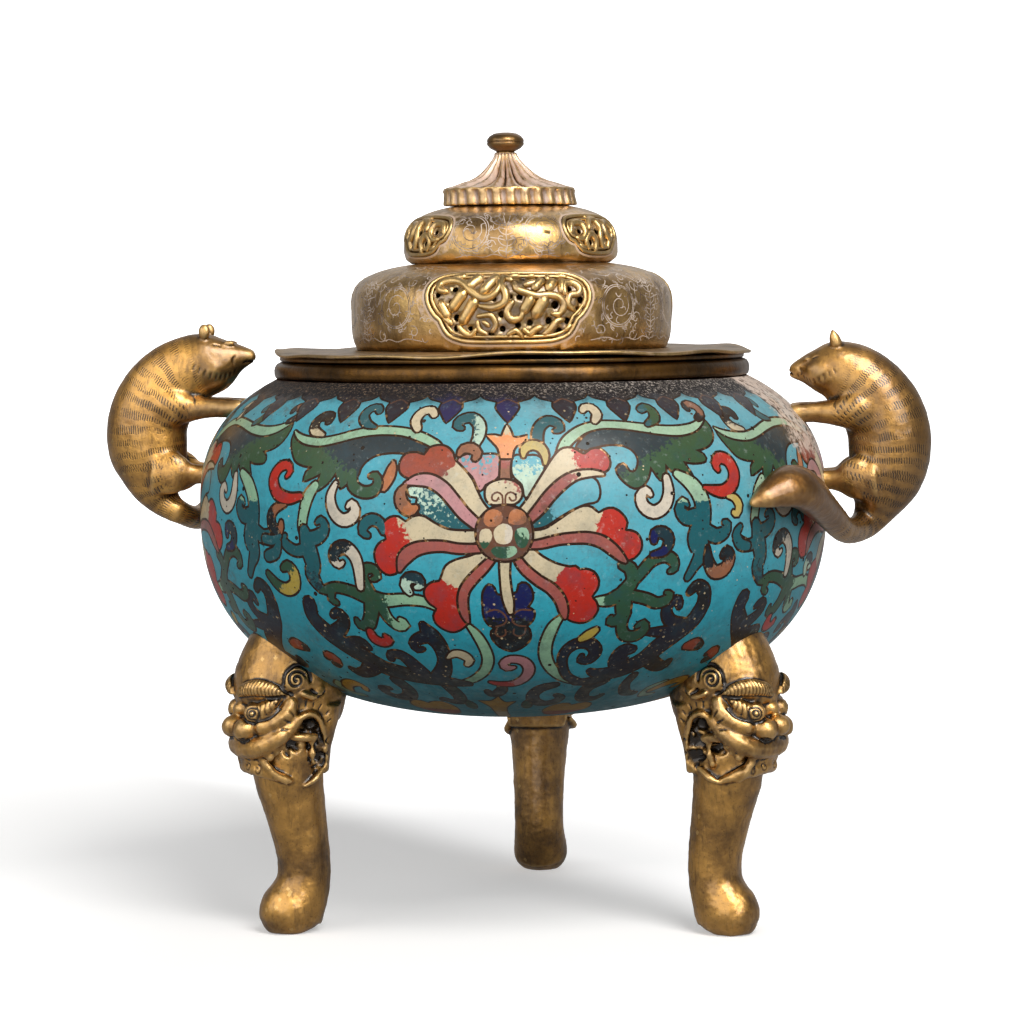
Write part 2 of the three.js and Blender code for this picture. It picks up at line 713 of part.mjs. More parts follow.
place("cover_bezel", bezelSolid(), gilt);
place("cover_flange", flangeSolid(), rubbedGilt);
const lower = piercedDome(lowerDome, lowerPanel, lowerBellyZ, lowerFootZ, lowerDome.opening, 3, 5);
place("lower_dome", lower.pierced, rubbedGilt);
lower.panels.forEach((panel, i) => place(`lower_panel_${i + 1}`, panel, gilt));
const studHole = finial.studRadius + gap;
const upper = piercedDome(upperDome, upperPanel, upperBellyZ, upperFootZ, studHole, 2, 4);
place("upper_dome", upper.pierced, rubbedGilt);
upper.panels.forEach((panel, i) => place(`upper_panel_${i + 1}`, panel, gilt));
place("canopy", canopySolid(), rubbedGilt);
place("finial", finialSolid(), gilt);
place("finial_nut", nutSolid(), gilt);

export default burner;
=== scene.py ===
# A cloisonne tripod incense burner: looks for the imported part. Sizes are written in millimetres.
import math
import random

import bmesh
import bpy
import numpy as np
from mathutils import Matrix, Vector, noise
from mathutils.bvhtree import BVHTree
from mathutils.geometry import delaunay_2d_cdt
from mathutils.kdtree import KDTree


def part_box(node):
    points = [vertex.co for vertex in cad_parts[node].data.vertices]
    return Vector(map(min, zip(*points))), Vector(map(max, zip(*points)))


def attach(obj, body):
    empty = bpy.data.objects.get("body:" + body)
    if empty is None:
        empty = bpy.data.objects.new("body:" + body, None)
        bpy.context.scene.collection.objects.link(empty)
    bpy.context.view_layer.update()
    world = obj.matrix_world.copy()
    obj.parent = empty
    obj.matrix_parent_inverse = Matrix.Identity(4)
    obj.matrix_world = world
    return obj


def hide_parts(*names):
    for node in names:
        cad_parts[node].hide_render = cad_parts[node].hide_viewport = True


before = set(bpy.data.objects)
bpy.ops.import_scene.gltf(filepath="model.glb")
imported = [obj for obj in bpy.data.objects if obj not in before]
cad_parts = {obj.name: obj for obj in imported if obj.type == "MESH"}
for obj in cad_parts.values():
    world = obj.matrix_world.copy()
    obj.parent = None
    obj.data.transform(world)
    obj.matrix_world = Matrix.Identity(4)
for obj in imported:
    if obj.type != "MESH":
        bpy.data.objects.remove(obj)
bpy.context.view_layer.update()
mm = 0.001
luck = random.Random(7)

# Shades, as they look on screen
shades = {
    # the glass
    "turquoise": (44, 154, 174), "teal": (26, 86, 94), "green": (40, 74, 52), "deepGreen": (26, 60, 50),
    "slate": (22, 44, 52), "paleGreen": (138, 180, 148), "leafGreen": (46, 78, 50), "red": (174, 38, 25),
    "brick": (146, 62, 40), "rose": (150, 78, 70), "mauve": (176, 122, 126), "cream": (194, 180, 148),
    "white": (198, 189, 172), "aqua": (178, 206, 186), "yellow": (176, 154, 66), "gold": (190, 142, 30),
    "orange": (226, 138, 74), "amber": (168, 96, 44), "brown": (140, 88, 58), "navy": (16, 22, 76),
    "black": (16, 15, 18), "ink": (14, 16, 34), "copperBrown": (96, 60, 42), "wire": (50, 33, 25),
    # its wear
    "deepWater": (24, 70, 84), "stain": (70, 66, 50), "frost": (190, 214, 214), "speckle": (52, 44, 34),
    "rubbedWire": (150, 112, 66), "pit": (30, 24, 20), "sand": (196, 176, 140), "paintedSheen": (232, 214, 198),
    "haze": (104, 84, 66), "crumb": (104, 84, 58), "paleCrumb": (206, 186, 146), "crust": (112, 94, 78),
    "paleCrust": (190, 180, 170), "soot": (22, 20, 22), "clay": (104, 84, 70), "chalkAndRimLight": (208, 190, 176),
    "undersideShade": (22, 26, 22), "mud": (74, 66, 50),
    # the metals
    "copper": (122, 74, 44), "heatedCopper": (64, 42, 32), "ash": (38, 30, 26), "umber": (44, 28, 14),
    "tarnish": (66, 44, 18), "rubbedGold": (244, 206, 130), "crestGold": (250, 214, 150), "groove": (22, 14, 8),
    "residue": (176, 142, 120), "paleResidue": (226, 206, 194), "dust": (206, 182, 164),
    "emptyLine": (74, 56, 42), "filledLine": (206, 188, 172), "brownGiltAndShade": (92, 66, 34),
    "furStainAndShade": (84, 58, 30), "tailBrown": (66, 40, 8), "tailGold": (138, 90, 30), "hairShadow": (30, 18, 8),
    # the stage
    "shadedPaper": (110, 110, 110), "paper": (212, 212, 212), "light": (255, 255, 255),
}


def linear(shade):
    values = [c / 255 for c in (shades[shade] if isinstance(shade, str) else shade)]
    return [v / 12.92 if v <= 0.04045 else ((v + 0.055) / 1.055) ** 2.4 for v in values]


# Curves on the flat: a point given twice in a row makes a corner
def curveThrough(points, closed=False, step=1.1):
    points = [Vector(p) for p in points]
    count = len(points)
    made = []
    for i in range(count if closed else count - 1):
        here, there = points[i], points[(i + 1) % count]
        if (there - here).length < 1e-6:
            continue
        before = points[i - 1] if closed or i > 0 else here
        after = points[(i + 2) % count] if closed or i + 2 < count else there
        pieces = max(2, round((there - here).length / step))
        for k in range(pieces):
            t = k / pieces
            square = 2 * before - 5 * here + 4 * there - after
            cube = 3 * here - before - 3 * there + after
            made.append(0.5 * (2 * here + (there - before) * t + square * t * t + cube * t ** 3))
    if not closed:
        made.append(points[-1])
    return made


# The outline of a brush stroke through (across, up, width) points, with round ends
def strokeOutline(line, extra=0.0):
    left, right = [], []
    for i, p in enumerate(line):
        way = line[min(i + 1, len(line) - 1)] - line[max(i - 1, 0)]
        side = Vector((-way.y, way.x)).normalized() * (max(p.z, 0.15) / 2 + extra)
        left.append(p.xy + side)
        right.append(p.xy - side)
    endCap, startCap = [], []
    for turn in (0.25, 0.5, 0.75):
        endCap.append(line[-1].xy + Matrix.Rotation(-math.pi * turn, 2) @ (left[-1] - line[-1].xy))
        startCap.append(line[0].xy + Matrix.Rotation(-math.pi * turn, 2) @ (right[0] - line[0].xy))
    return left + endCap + right[::-1] + startCap


def signedArea(outline):
    return sum(a.x * b.y - b.x * a.y for a, b in zip(outline, outline[1:] + outline[:1])) / 2


# An outline moved outwards all round
def grown(outline, amount):
    way = 1 if signedArea(outline) > 0 else -1
    made = []
    for i, p in enumerate(outline):
        along = outline[(i + 1) % len(outline)] - outline[i - 1]
        made.append(p + Vector((along.y, -along.x)).normalized() * amount * way)
    return made


# A drawing is a list of shapes, each with an outline, a wire outline and its paints
class Drawing:
    def __init__(self, wireWidth):
        self.wireWidth = wireWidth
        self.shapes = []

    def add(self, outline, paint, level, other=None, fade=None, tag="", wire=None):
        self.shapes.append({"outline": outline, "wire": wire, "paint": paint, "level": level,
                            "other": other or paint, "fade": fade, "tag": tag})

    def stroke(self, paint, points, level=0, other=None, fade=None, tag="", wired=True):
        line = curveThrough(points)
        wire = strokeOutline(line, self.wireWidth) if wired else None
        self.add(strokeOutline(line), paint, level, other, fade, tag, wire)

    def cell(self, paint, points, level=0, other=None, fade=None, tag="", wired=True):
        outline = curveThrough(points, closed=True)
        wire = grown(outline, self.wireWidth) if wired else None
        self.add(outline, paint, level, other, fade, tag, wire)

    # Every layer from the lowest to the topmost: (outline, shape or None for a wire, shift across)
    def layers(self, placements):
        made = []
        for level in sorted({s["level"] for s in self.shapes}):
            for wired in (True, False):
                for shape in self.shapes:
                    outline = shape["wire"] if wired else shape["outline"]
                    if shape["level"] != level or outline is None:
                        continue
                    for shift, without in placements:
                        if shape["tag"] and shape["tag"] in without:
                            continue
                        moved = [p + Vector((shift, 0)) for p in outline]
                        made.append((moved, None if wired else shape, shift))
        return made


# The layers that reach into a region (left, right, low, high)
def reaching(layers, region):
    return [entry for entry in layers
            if min(p.x for p in entry[0]) < region[1] and max(p.x for p in entry[0]) > region[0]]


# Which points lie inside an outline, by its winding round them
def insideOf(points, outline):
    x, y = points[:, 0], points[:, 1]
    turns = np.zeros(len(points), int)
    for a, b in zip(outline, outline[1:] + outline[:1]):
        side = (b.x - a.x) * (y - a.y) - (x - a.x) * (b.y - a.y)
        turns += (a.y <= y) & (b.y > y) & (side > 0)
        turns -= (a.y > y) & (b.y <= y) & (side < 0)
    return turns != 0


# Cuts a flat region along every outline. Gives points, triangles and the topmost layer of each triangle
def pave(layers, region, spacing, border=None):
    left, right, low, high = region
    points, edges = [], []

    def ring(outline):
        first = len(points)
        points.extend(outline)
        edges.extend((first + i, first + (i + 1) % len(outline)) for i in range(len(outline)))

    acrossCount = max(2, round((right - left) / spacing))
    upCount = max(2, round((high - low) / spacing))
    acrossStep, upStep = (right - left) / acrossCount, (high - low) / upCount
    if border is None:
        border = [Vector((left + acrossStep * i, low)) for i in range(acrossCount)]
        border += [Vector((right, low + upStep * i)) for i in range(upCount)]
        border += [Vector((right - acrossStep * i, high)) for i in range(acrossCount)]
        border += [Vector((left, high - upStep * i)) for i in range(upCount)]
    ring(border)
    for i in range(1, acrossCount):
        for k in range(1, upCount):
            points.append(Vector((left + acrossStep * (i + 0.5 * (k % 2)), low + upStep * k)))
    for outline, _, _ in layers:
        ring(outline)
    spots, _, faces, _, _, _ = delaunay_2d_cdt(points, edges, [], 0, 1e-3)
    corners = np.array([[*p] for p in spots])
    triangles = np.array([list(f) for f in faces if len(f) == 3])
    middles = corners[triangles].mean(axis=1)
    kept = insideOf(middles, border)
    triangles, middles = triangles[kept], middles[kept]
    top = np.full(len(triangles), -1)
    for number, (outline, _, _) in enumerate(layers):
        xs, ys = [p.x for p in outline], [p.y for p in outline]
        near = np.flatnonzero((middles[:, 0] >= min(xs)) & (middles[:, 0] <= max(xs))
                              & (middles[:, 1] >= min(ys)) & (middles[:, 1] <= max(ys)))
        if len(near):
            top[near[insideOf(middles[near], outline)]] = number
    return corners, triangles, top


# A surface turned about the Z axis: its place at so far across (at spread millimetres from the axis),
# so far up along its meridian from the zero point, and so far out
class Turned:
    def __init__(self, meridian, zero, spread):
        self.rz = np.array(meridian, float)
        steps = np.hypot(*np.diff(self.rz, axis=0).T)
        self.up = np.concatenate([[0], np.cumsum(steps)])
        self.up -= self.up[zero]
        self.spread = spread

    def radiusHeight(self, v):
        return np.interp(v, self.up, self.rz[:, 0]), np.interp(v, self.up, self.rz[:, 1])

    def slope(self, v):
        (r0, z0), (r1, z1) = self.radiusHeight(v - 0.8), self.radiusHeight(v + 0.8)
        length = math.hypot(r1 - r0, z1 - z0) or 1
        return (z1 - z0) / length, -(r1 - r0) / length

    def at(self, u, v, out=0.0):
        r, z = self.radiusHeight(v)
        outR, outZ = self.slope(v)
        angle = u / self.spread
        r, z = r + out * outR, z + out * outZ
        return Vector((r * math.sin(angle), -r * math.cos(angle), z)) * mm

    def normal(self, u, v):
        outR, outZ = self.slope(v)
        angle = u / self.spread
        return Vector((outR * math.sin(angle), -outR * math.cos(angle), outZ))


# Part of a squared oval, as (radius, height) pairs
def squaredOval(radius, middle, reach, power, fromTurn, toTurn, count):
    made = []
    for i in range(count + 1):
        turn = fromTurn + (toTurn - fromTurn) * i / count
        share = abs(math.sin(turn))
        made.append((radius * (1 - share ** power) ** (1 / power) if share < 1 else 0.0,
                     middle + reach * math.sin(turn)))
    return made


# A new object in the scene
def placed(name, data, matrix=None):
    made = bpy.data.objects.new(name, data)
    bpy.context.scene.collection.objects.link(made)
    if matrix is not None:
        made.matrix_world = matrix
    return made


def toMesh(bm, name):
    mesh = bpy.data.meshes.new(name)
    bm.to_mesh(mesh)
    bm.free()
    return mesh


# Finishing a piece
def pieceFrom(mesh, name, body, replaced, materials):
    if isinstance(mesh, bmesh.types.BMesh):
        mesh = toMesh(mesh, name)
        mesh.shade_smooth()
    for material in materials:
        mesh.materials.append(material)
    piece = placed(name, mesh)
    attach(piece, body)
    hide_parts(*replaced)


# A value somewhere in a node tree, reckoned with like a number
class Signal:
    def __init__(self, nodes, socket):
        self.nodes, self.socket = nodes, socket

    def __add__(self, other):
        return self.nodes.maths("ADD", self, other)

    def __sub__(self, other):
        return self.nodes.maths("SUBTRACT", self, other)

    def __rsub__(self, other):
        return self.nodes.maths("SUBTRACT", other, self)

    def __mul__(self, other):
        return self.nodes.maths("MULTIPLY", self, other)

    def __truediv__(self, other):
        return self.nodes.maths("DIVIDE", self, other)

    # 0 up to the first value and 1 from the second on, which may be the smaller one
    def between(self, low, high):
        return self.nodes.add("MapRange", ["Result"], {"Value": self, "From Min": low, "From Max": high},
                              interpolation_type="SMOOTHSTEP")


# A small hand for building node trees
class Nodes:
    def __init__(self, tree):
        self.tree = tree

    # A new node. Gives the outputs that are asked for
    def add(self, kind, wanted, inputs=None, **settings):
        made = self.tree.nodes.new("ShaderNode" + kind)
        for key, value in settings.items():
            setattr(made, key, value)
        for key, value in (inputs or {}).items():
            self.feed(made.inputs[key], value)
        signals = [Signal(self, made.outputs[key]) for key in wanted]
        return signals if len(signals) > 1 else signals[0]

    def feed(self, socket, value):
        if isinstance(value, Signal):
            self.tree.links.new(value.socket, socket)
        elif socket.type == "RGBA":
            socket.default_value = (*linear(value), 1)
        else:
            socket.default_value = value

    def maths(self, operation, *values):
        return self.add("Math", [0], dict(enumerate(values)), operation=operation)

    def most(self, first, *others):
        for other in others:
            first = self.maths("MAXIMUM", first, other)
        return first


class Finish(Nodes):
    def __init__(self, name, **constants):
        self.material = bpy.data.materials.new(name)
        self.material.use_nodes = True
        Nodes.__init__(self, self.material.node_tree)
        self.shader = self.tree.nodes["Principled BSDF"]
        for socket, value in constants.items():
            self.shader.inputs[socket.replace("_", " ")].default_value = value
        self.place = self.add("TexCoord", ["Object"])
        self.x, self.y, self.z = self.add("SeparateXYZ", "XYZ", {"Vector": self.place})

    def noise(self, scale, detail=3.0, roughness=0.55, place=None):
        return self.add("TexNoise", ["Fac"], {"Vector": place or self.place, "Scale": scale, "Detail": detail,
                                              "Roughness": roughness})

    # Noise that swings to both sides of zero
    def swing(self, amount, *noise):
        return (self.noise(*noise) - 0.5) * amount

    # Patches of noise with soft edges
    def patches(self, low, high, *noise):
        return self.noise(*noise).between(low, high)

    # Round spots of uneven size with soft edges
    def spots(self, scale, shift, channel, size, edge):
        moved = self.add("Mapping", ["Vector"], {"Vector": self.place, "Location": (shift, shift, shift)})
        away, chance = self.add("TexVoronoi", ["Distance", "Color"], {"Vector": moved, "Scale": scale})
        return (self.add("SeparateColor", [channel], {"Color": chance}) * size - away).between(0, edge)

    # A named attribute of the mesh
    def read(self, name, *wanted):
        return self.add("Attribute", wanted or ["Fac"], attribute_name=name)

    def mix(self, share, first, second):
        return self.add("Mix", [2], {0: share, 6: first, 7: second}, data_type="RGBA")

    def brightness(self, colour):
        return self.add("RGBToBW", ["Val"], {"Color": colour})

    def bump(self, value, distance, strength):
        normal = self.add("Bump", ["Normal"], {"Height": value, "Distance": distance, "Strength": strength})
        self.feed(self.shader.inputs["Normal"], normal)

    def finish(self, **links):
        for socket, value in links.items():
            self.feed(self.shader.inputs[socket.replace("_", " ")], value)
        return self.material


def enamelFinish():
    f = Finish("cloisonneEnamel", Specular_IOR_Level=0.26)
    x, z = f.x, f.z
    paint, share = f.read("paint", "Color", "Alpha")
    under, wire = f.read("under", "Color", "Alpha")
    colour = f.mix((share + f.swing(1.1, 900, 4, 0.6)).between(0.44, 0.56), paint, under)
    # cloudy glass: darker, stained, paler and speckled patches
    colour = f.mix(f.patches(0.42, 0.75, 150, 5, 0.65), colour, f.mix(0.34, colour, "deepWater"))
    stain = f.patches(0.52, 0.72, 46, 6, 0.72) * f.patches(0.4, 0.6, 700, 4, 0.7)
    colour = f.mix(stain * 0.55, colour, "stain")
    colour = f.mix(f.patches(0.55, 0.85, 420, 4, 0.7), colour, f.mix(0.3, colour, "frost"))
    colour = f.mix(f.patches(0.5, 0.7, 1100, 3, 0.75) * 0.5, colour, f.mix(0.5, colour, "speckle"))
    # wires, brown with a little gold where they are rubbed
    colour = f.mix(wire, colour, f.mix(f.patches(0.56, 0.7, 330, 4), "wire", "rubbedWire"))
    # pits, dark inside, and pale grains of sand
    pits = f.most(f.spots(410, 0, "Red", 0.15, 0.03), f.spots(165, 3.1, "Green", 0.14, 0.02))
    colour = f.mix(pits, colour, "pit")
    colour = f.mix(f.spots(300, 7.7, "Red", 0.1, 0.02), colour, "sand")
    # a pale painted sheen on the lighter cells, most of it on the right where the lamps fall, and a brown haze near the
    # mouth
    paintedSheen = (x.between(-0.07, 0.03) * 0.17 + 0.05) * (z.between(0.1, 0.15) * f.noise(80, 5, 0.7))
    colour = f.mix(paintedSheen * f.brightness(colour).between(0.07, 0.2), colour, "paintedSheen")
    colour = f.mix(z.between(0.136, 0.165) * 0.17, colour, "haze")
    # crumbs left on the dark cells
    crumbs = f.most(f.spots(560, 5.3, "Green", 0.3, 0.05), f.patches(0.62, 0.7, 500, 5, 0.75))
    crumbs = crumbs * f.brightness(colour).between(0.035, 0.012) * 0.85
    colour = f.mix(crumbs, colour, f.mix(f.patches(0.45, 0.6, 900), "crumb", "paleCrumb"))
    # soot and crust below the lip ring
    high = (z + f.noise(140, 5, 0.7) * 0.007).between(0.1685, 0.1735)
    crust = f.noise(1300, 5, 0.8) + z.between(0.1655, 0.172) * 0.06
    dirt = f.mix(crust.between(0.57, 0.68), "soot", f.mix(x.between(-0.03, 0.06), "crust", "paleCrust"))
    colour = f.mix(high * 0.95, colour, dirt)
    # chalky crust on the right shoulder, partly real and partly a painted rim highlight along the bowl's right side
    flat = f.add("VectorMath", ["Vector"], {0: f.place, 1: (1, 1, 0)}, operation="MULTIPLY")
    reach = f.add("VectorMath", ["Value"], {0: flat}, operation="LENGTH")
    shoulderChalkAndRimLight = (x / reach).between(0.86, 0.96) * z.between(0.138, 0.152)
    shoulderChalkAndRimLight = (shoulderChalkAndRimLight + f.swing(1.3, 210, 6, 0.75)).between(0.72, 0.95)
    colour = f.mix(shoulderChalkAndRimLight * 0.85, colour, f.mix(f.patches(0.36, 0.5, 600, 4), "clay", "chalkAndRimLight"))
    # painted shade on the underside, darker towards the bottom, in dark and paler brown patches
    low = (z + f.swing(0.05, 60, 6, 0.72)).between(0.092, 0.074)
    colour = f.mix(low * 0.55, colour, f.mix(f.patches(0.45, 0.6, 420, 4), "undersideShade", "mud"))
    gloss = f.most(f.noise(60) * 0.24 + 0.22, shoulderChalkAndRimLight * 0.5, low * 0.5, pits * 0.8, high * 0.6, wire * 0.42)
    f.bump(f.noise(240, 4) * 0.22 - pits + wire * 0.3, 0.0004, 0.8)
    return f.finish(Base_Color=colour, Roughness=gloss, Metallic=wire * 0.6)


def copperFinish():
    f = Finish("dullCopper", Metallic=1.0)
    colour = f.mix(f.patches(0.4, 0.65, 90, 5, 0.6), "copper", "heatedCopper")
    colour = f.mix(f.patches(0.6, 0.72, 700, 4), colour, "ash")
    f.bump(f.noise(500, 4), 0.0002, 0.5)
    return f.finish(Base_Color=colour, Roughness=f.noise(160) * 0.3 + 0.38)


enamel = enamelFinish()
copper = copperFinish()


# A paved flat region laid on a surface, with its paints as corner colours
def pavedMesh(name, surface, spots, triangles, top, layers, ground):
    mesh = bpy.data.meshes.new(name)
    mesh.from_pydata([surface.at(u, v) for u, v in spots], [], triangles.tolist())
    paint = mesh.color_attributes.new("paint", "FLOAT_COLOR", "CORNER")
    under = mesh.color_attributes.new("under", "FLOAT_COLOR", "CORNER")
    first, second = [], []
    groundShade = linear(ground)
    for corners, number in zip(triangles, top):
        shape, shift = (None, 0) if number < 0 else layers[number][1:]
        if number < 0:
            first.extend([*groundShade, 0] * 3)
            second.extend([*groundShade, 0] * 3)
        elif shape is None:
            first.extend([*linear("wire"), 0] * 3)
            second.extend([*linear("wire"), 1] * 3)
        else:
            one, two = linear(shape["paint"]), linear(shape["other"])
            for corner in corners:
                share = 0.0
                if shape["fade"]:
                    start, end = (Vector(p) for p in shape["fade"])
                    spot = Vector(spots[corner]) - Vector((shift, 0)) - start
                    share = min(max(spot.dot(end - start) / (end - start).length_squared, -0.3), 1.3)
                first.extend([*one, share * 0.8 + 0.1])
                second.extend([*two, 0])
    paint.data.foreach_set("color", first)
    under.data.foreach_set("color", second)
    outward = mesh.attributes.new("outward", "FLOAT_VECTOR", "POINT")
    outward.data.foreach_set("vector", [value for u, v in spots for value in surface.normal(u, v)])
    return mesh


# Draws an edge ring of a paved face on through (radius, height) rings, and closes it at the axis
def drawOut(bm, edges, rings, materialIndex, shade=None):
    for radius, height in rings:
        made = bmesh.ops.extrude_edge_only(bm, edges=edges)["geom"]
        spots = [g for g in made if isinstance(g, bmesh.types.BMVert)]
        edges = [g for g in made if isinstance(g, bmesh.types.BMEdge) and g.is_boundary]
        for vert in spots:
            flat = vert.co.xy.normalized() * radius * mm
            vert.co = (flat.x, flat.y, height * mm)
        for face in {f for v in spots for f in v.link_faces}:
            face.material_index = materialIndex
            if shade:
                for corner in face.loops:
                    corner[bm.loops.layers.float_color["paint"]] = (*linear(shade), 0)
                    corner[bm.loops.layers.float_color["under"]] = (*linear(shade), 0)
    ends = list({v for e in edges for v in e.verts})
    bmesh.ops.pointmerge(bm, verts=ends, merge_co=(0, 0, rings[-1][1] * mm))


# Gives paved faces the smooth surface's own normals, so that their small triangles don't show in the gloss
def smoothNormals(mesh):
    mesh.shade_smooth()
    outward = [a.vector.copy() for a in mesh.attributes["outward"].data]
    normals = []
    for polygon in mesh.polygons:
        for corner in polygon.vertices:
            normals.append(outward[corner] if polygon.material_index == 0 else (0, 0, 0))
    mesh.normals_split_custom_set(normals)


# The enamelled bowl. Its drawing is in millimetres: across from the front, at the widest line, and up from there
bowlSpread = 100  # the radius at which the drawing has its true width
bowlShape = {"radius": 99.95, "middle": 131, "lower": 66, "lowerPower": 2.42, "upper": 52.8, "upperPower": 2.6,
             "wall": 2.6, "mouth": 51.2, "foot": -104, "wire": 0.78, "grid": 4.2}
lappets = {"count": 32, "start": 7.2, "tip": 32.6}
unitPlaces = [(0, ""), (149, "L"), (-150, "R"), (314, "LR")]  # where the design repeats, without its side motifs


def drawFlower(d):
    # the boss and its cells
    d.cell("copperBrown", [(6.3, 6.2), (11, 4.8), (13.8, 1), (14, -4), (11.4, -8.2), (6.4, -9.8), (1.4, -8.4),
                           (-1.4, -4.4), (-1.6, 0.4), (1.4, 4.6)], 8)
    d.cell("amber", [(0.2, 1.6), (0.8, 4.2), (3, 5.3), (5.4, 4.3), (5.7, 2), (4, 0.3), (1.6, 0.2)], 9,
           "brown", ((2, 3), (5, 1)), wired=False)
    d.cell("amber", [(7.4, 1.6), (8, 4.4), (9.9, 5.3), (12.2, 4.1), (12.6, 1.6), (10.5, 0.6), (8.3, 0.9)], 9,
           "brown", ((10, 4), (12, 1)), wired=False)
    d.cell("green", [(9.1, -2.6), (10, -0.5), (12.6, -0.3), (13.5, -3), (12.2, -6), (10.2, -5.7)], 9,
           "paleGreen", ((11, -4), (13, -1)), wired=False)
    d.cell("green", [(2.2, -6.8), (3.8, -5.6), (6, -5.8), (9, -5.6), (9.9, -7.3), (7.5, -9), (4, -8.9)], 9,
           "paleGreen", ((5, -7), (9, -7)), wired=False)
    d.cell("cream", [(-1.1, -2.4), (-0.4, -0.7), (1.8, -0.5), (2.7, -2.5), (1.7, -5), (0.2, -6.4), (-0.9, -4.8)], 9,
           "green", ((0.6, -3), (0.6, -5.4)), wired=False)
    d.cell("cream", [(3.5, -0.4), (5.8, 1.1), (8.3, 0.1), (8.6, -2.4), (7.9, -4.4), (6, -5), (4, -4.4), (3.1, -2.4)],
           9, "white", ((5, -2), (8, -2)), wired=False)
    # the scrolled head over the boss
    d.cell("cream", [(4.4, 7.2), (7.7, 7.2), (8.2, 4.6), (6.3, 4), (4.3, 4.8)], 6)
    d.cell("cream", [(0.9, 9.6), (1.3, 11.8), (3.2, 13.1), (6.2, 13.7), (9.4, 13), (11.2, 11.1), (11, 8.6),
                     (9.2, 7), (6.3, 7), (3, 6.8), (1.4, 7.8)], 7, "rose", ((5, 11), (10, 16)))
    for way in (-1, 1):
        d.stroke("copperBrown", [(6.2 + way * x, y, 0.6) for x, y in
                                 ((0.4, 6.9), (0.5, 9.2), (1.9, 10.2), (3.4, 9.4), (3.4, 8), (2.2, 7.7), (1.6, 8.6))],
                 9, wired=False)
    # the crown on its stem
    d.stroke("brown", [(6.6, 13.6, 3), (6.6, 17, 2.6), (6.9, 21.5, 3)], 4, "rose", ((6.6, 15), (6.8, 20)))
    d.cell("orange", [(5.3, 20.4), (5.3, 20.4), (4.6, 23.4), (3.2, 25.2), (0.8, 27.8), (0.8, 27.8), (3.4, 27.8),
                      (5.4, 27.4), (6.1, 29), (7.1, 31.6), (7.1, 31.6), (8.3, 29), (9, 27.1), (11, 26.9),
                      (13.4, 27.6), (13.4, 27.6), (11.8, 25.2), (10, 24.4), (8.9, 22.6), (8.6, 20.4), (8.6, 20.4)],
           5, "cream", ((7, 25), (7.2, 31)))
    # the white stem and the blue pendant under it
    d.stroke("cream", [(6.3, -9.4, 2.8), (6.2, -14, 2.4), (6.6, -19, 2.6), (7.2, -22.4, 2.6), (7.7, -25.6, 1.4)], 7)
    d.cell("navy", [(1.4, -17.2), (-0.2, -19.6), (-0.4, -24), (-0.2, -27.4), (1.2, -30), (3.6, -31), (3.6, -31),
                    (1.8, -32.4), (2, -35), (4.4, -38.2), (8, -39.8), (11.4, -38.2), (13.7, -35.2), (13.4, -32),
                    (12.2, -30.6), (12.2, -30.6), (14.4, -28.4), (14.7, -25.6), (12.6, -24.2), (12.6, -24.2),
                    (14.2, -21.6), (13.8, -18.6), (12.2, -16.8), (10.5, -17.2), (10, -19.4), (7, -20.6),
                    (3.6, -20.2), (2.8, -18.2)], 5, "black", ((7, -24), (7, -32)))
    for arc in ([(0.3, -25.8), (2.8, -24.9), (5, -25.7), (6.5, -27.8), (5.6, -29.9), (3.2, -30.6)],
                [(13.9, -25.2), (10.8, -25), (8.6, -26.6), (8.3, -28.9), (10, -30.3), (12.4, -30.6)],
                [(3.4, -31.4), (2.8, -33.2), (4.2, -34.4), (6, -33.6), (6, -31.8)],
                [(12.4, -31.4), (12, -33.4), (10.2, -34.2), (8.6, -33.2), (8.8, -31.6)]):
        d.stroke("copperBrown", [(x, y, 0.6) for x, y in arc], 6, wired=False)
    # petals, each with its crescent
    d.cell("cream", [(2, 4.4), (2, 4.4), (-0.3, 7.4), (-1.9, 10.6), (-3.6, 14.1), (-6.5, 17.5), (-8.8, 19.8),
                     (-9.6, 22), (-11.5, 23.8), (-14, 24.3), (-16.8, 23.5), (-18.2, 21.2), (-20.6, 21.9),
                     (-24, 21.5), (-25.5, 19.3), (-25.2, 16.2), (-22.6, 14.6), (-19, 14.4), (-14.5, 13.4),
                     (-10.5, 11), (-6.5, 7), (-3, 3.4), (-1, 2.2), (-1, 2.2)], 3, "brick", ((-9, 14.5), (-12.5, 18)))
    d.stroke("mauve", [(-23.6, 12.7, 0.4), (-20, 13.7, 2.7), (-16, 13.6, 3.4), (-12, 11.4, 3.5), (-8.5, 7.6, 3.3),
                       (-5.5, 4, 3.2), (-1.6, 0.6, 2.6)], 4)
    d.cell("aqua", [(-1.2, -1), (-1.2, -1), (-6, -1), (-11, -0.1), (-15, 1.8), (-18.6, 3.8), (-19.6, 6),
                    (-19.6, 8.8), (-21.8, 9.2), (-22.6, 11.2), (-22.6, 11.2), (-19.5, 12.6), (-15.5, 12.2),
                    (-11.8, 9.6), (-7.6, 5), (-4, 1.4)], 2, "teal", ((-14, 30), (-14, -12)))
    d.stroke("brown", [(-23.2, 12.4, 0.8), (-24.8, 9.8, 2.8), (-24.3, 6.8, 3.6), (-21.8, 5, 3.4), (-20.2, 5.6, 1.8)], 4,
             "amber", ((-24, 9), (-20, 5)))
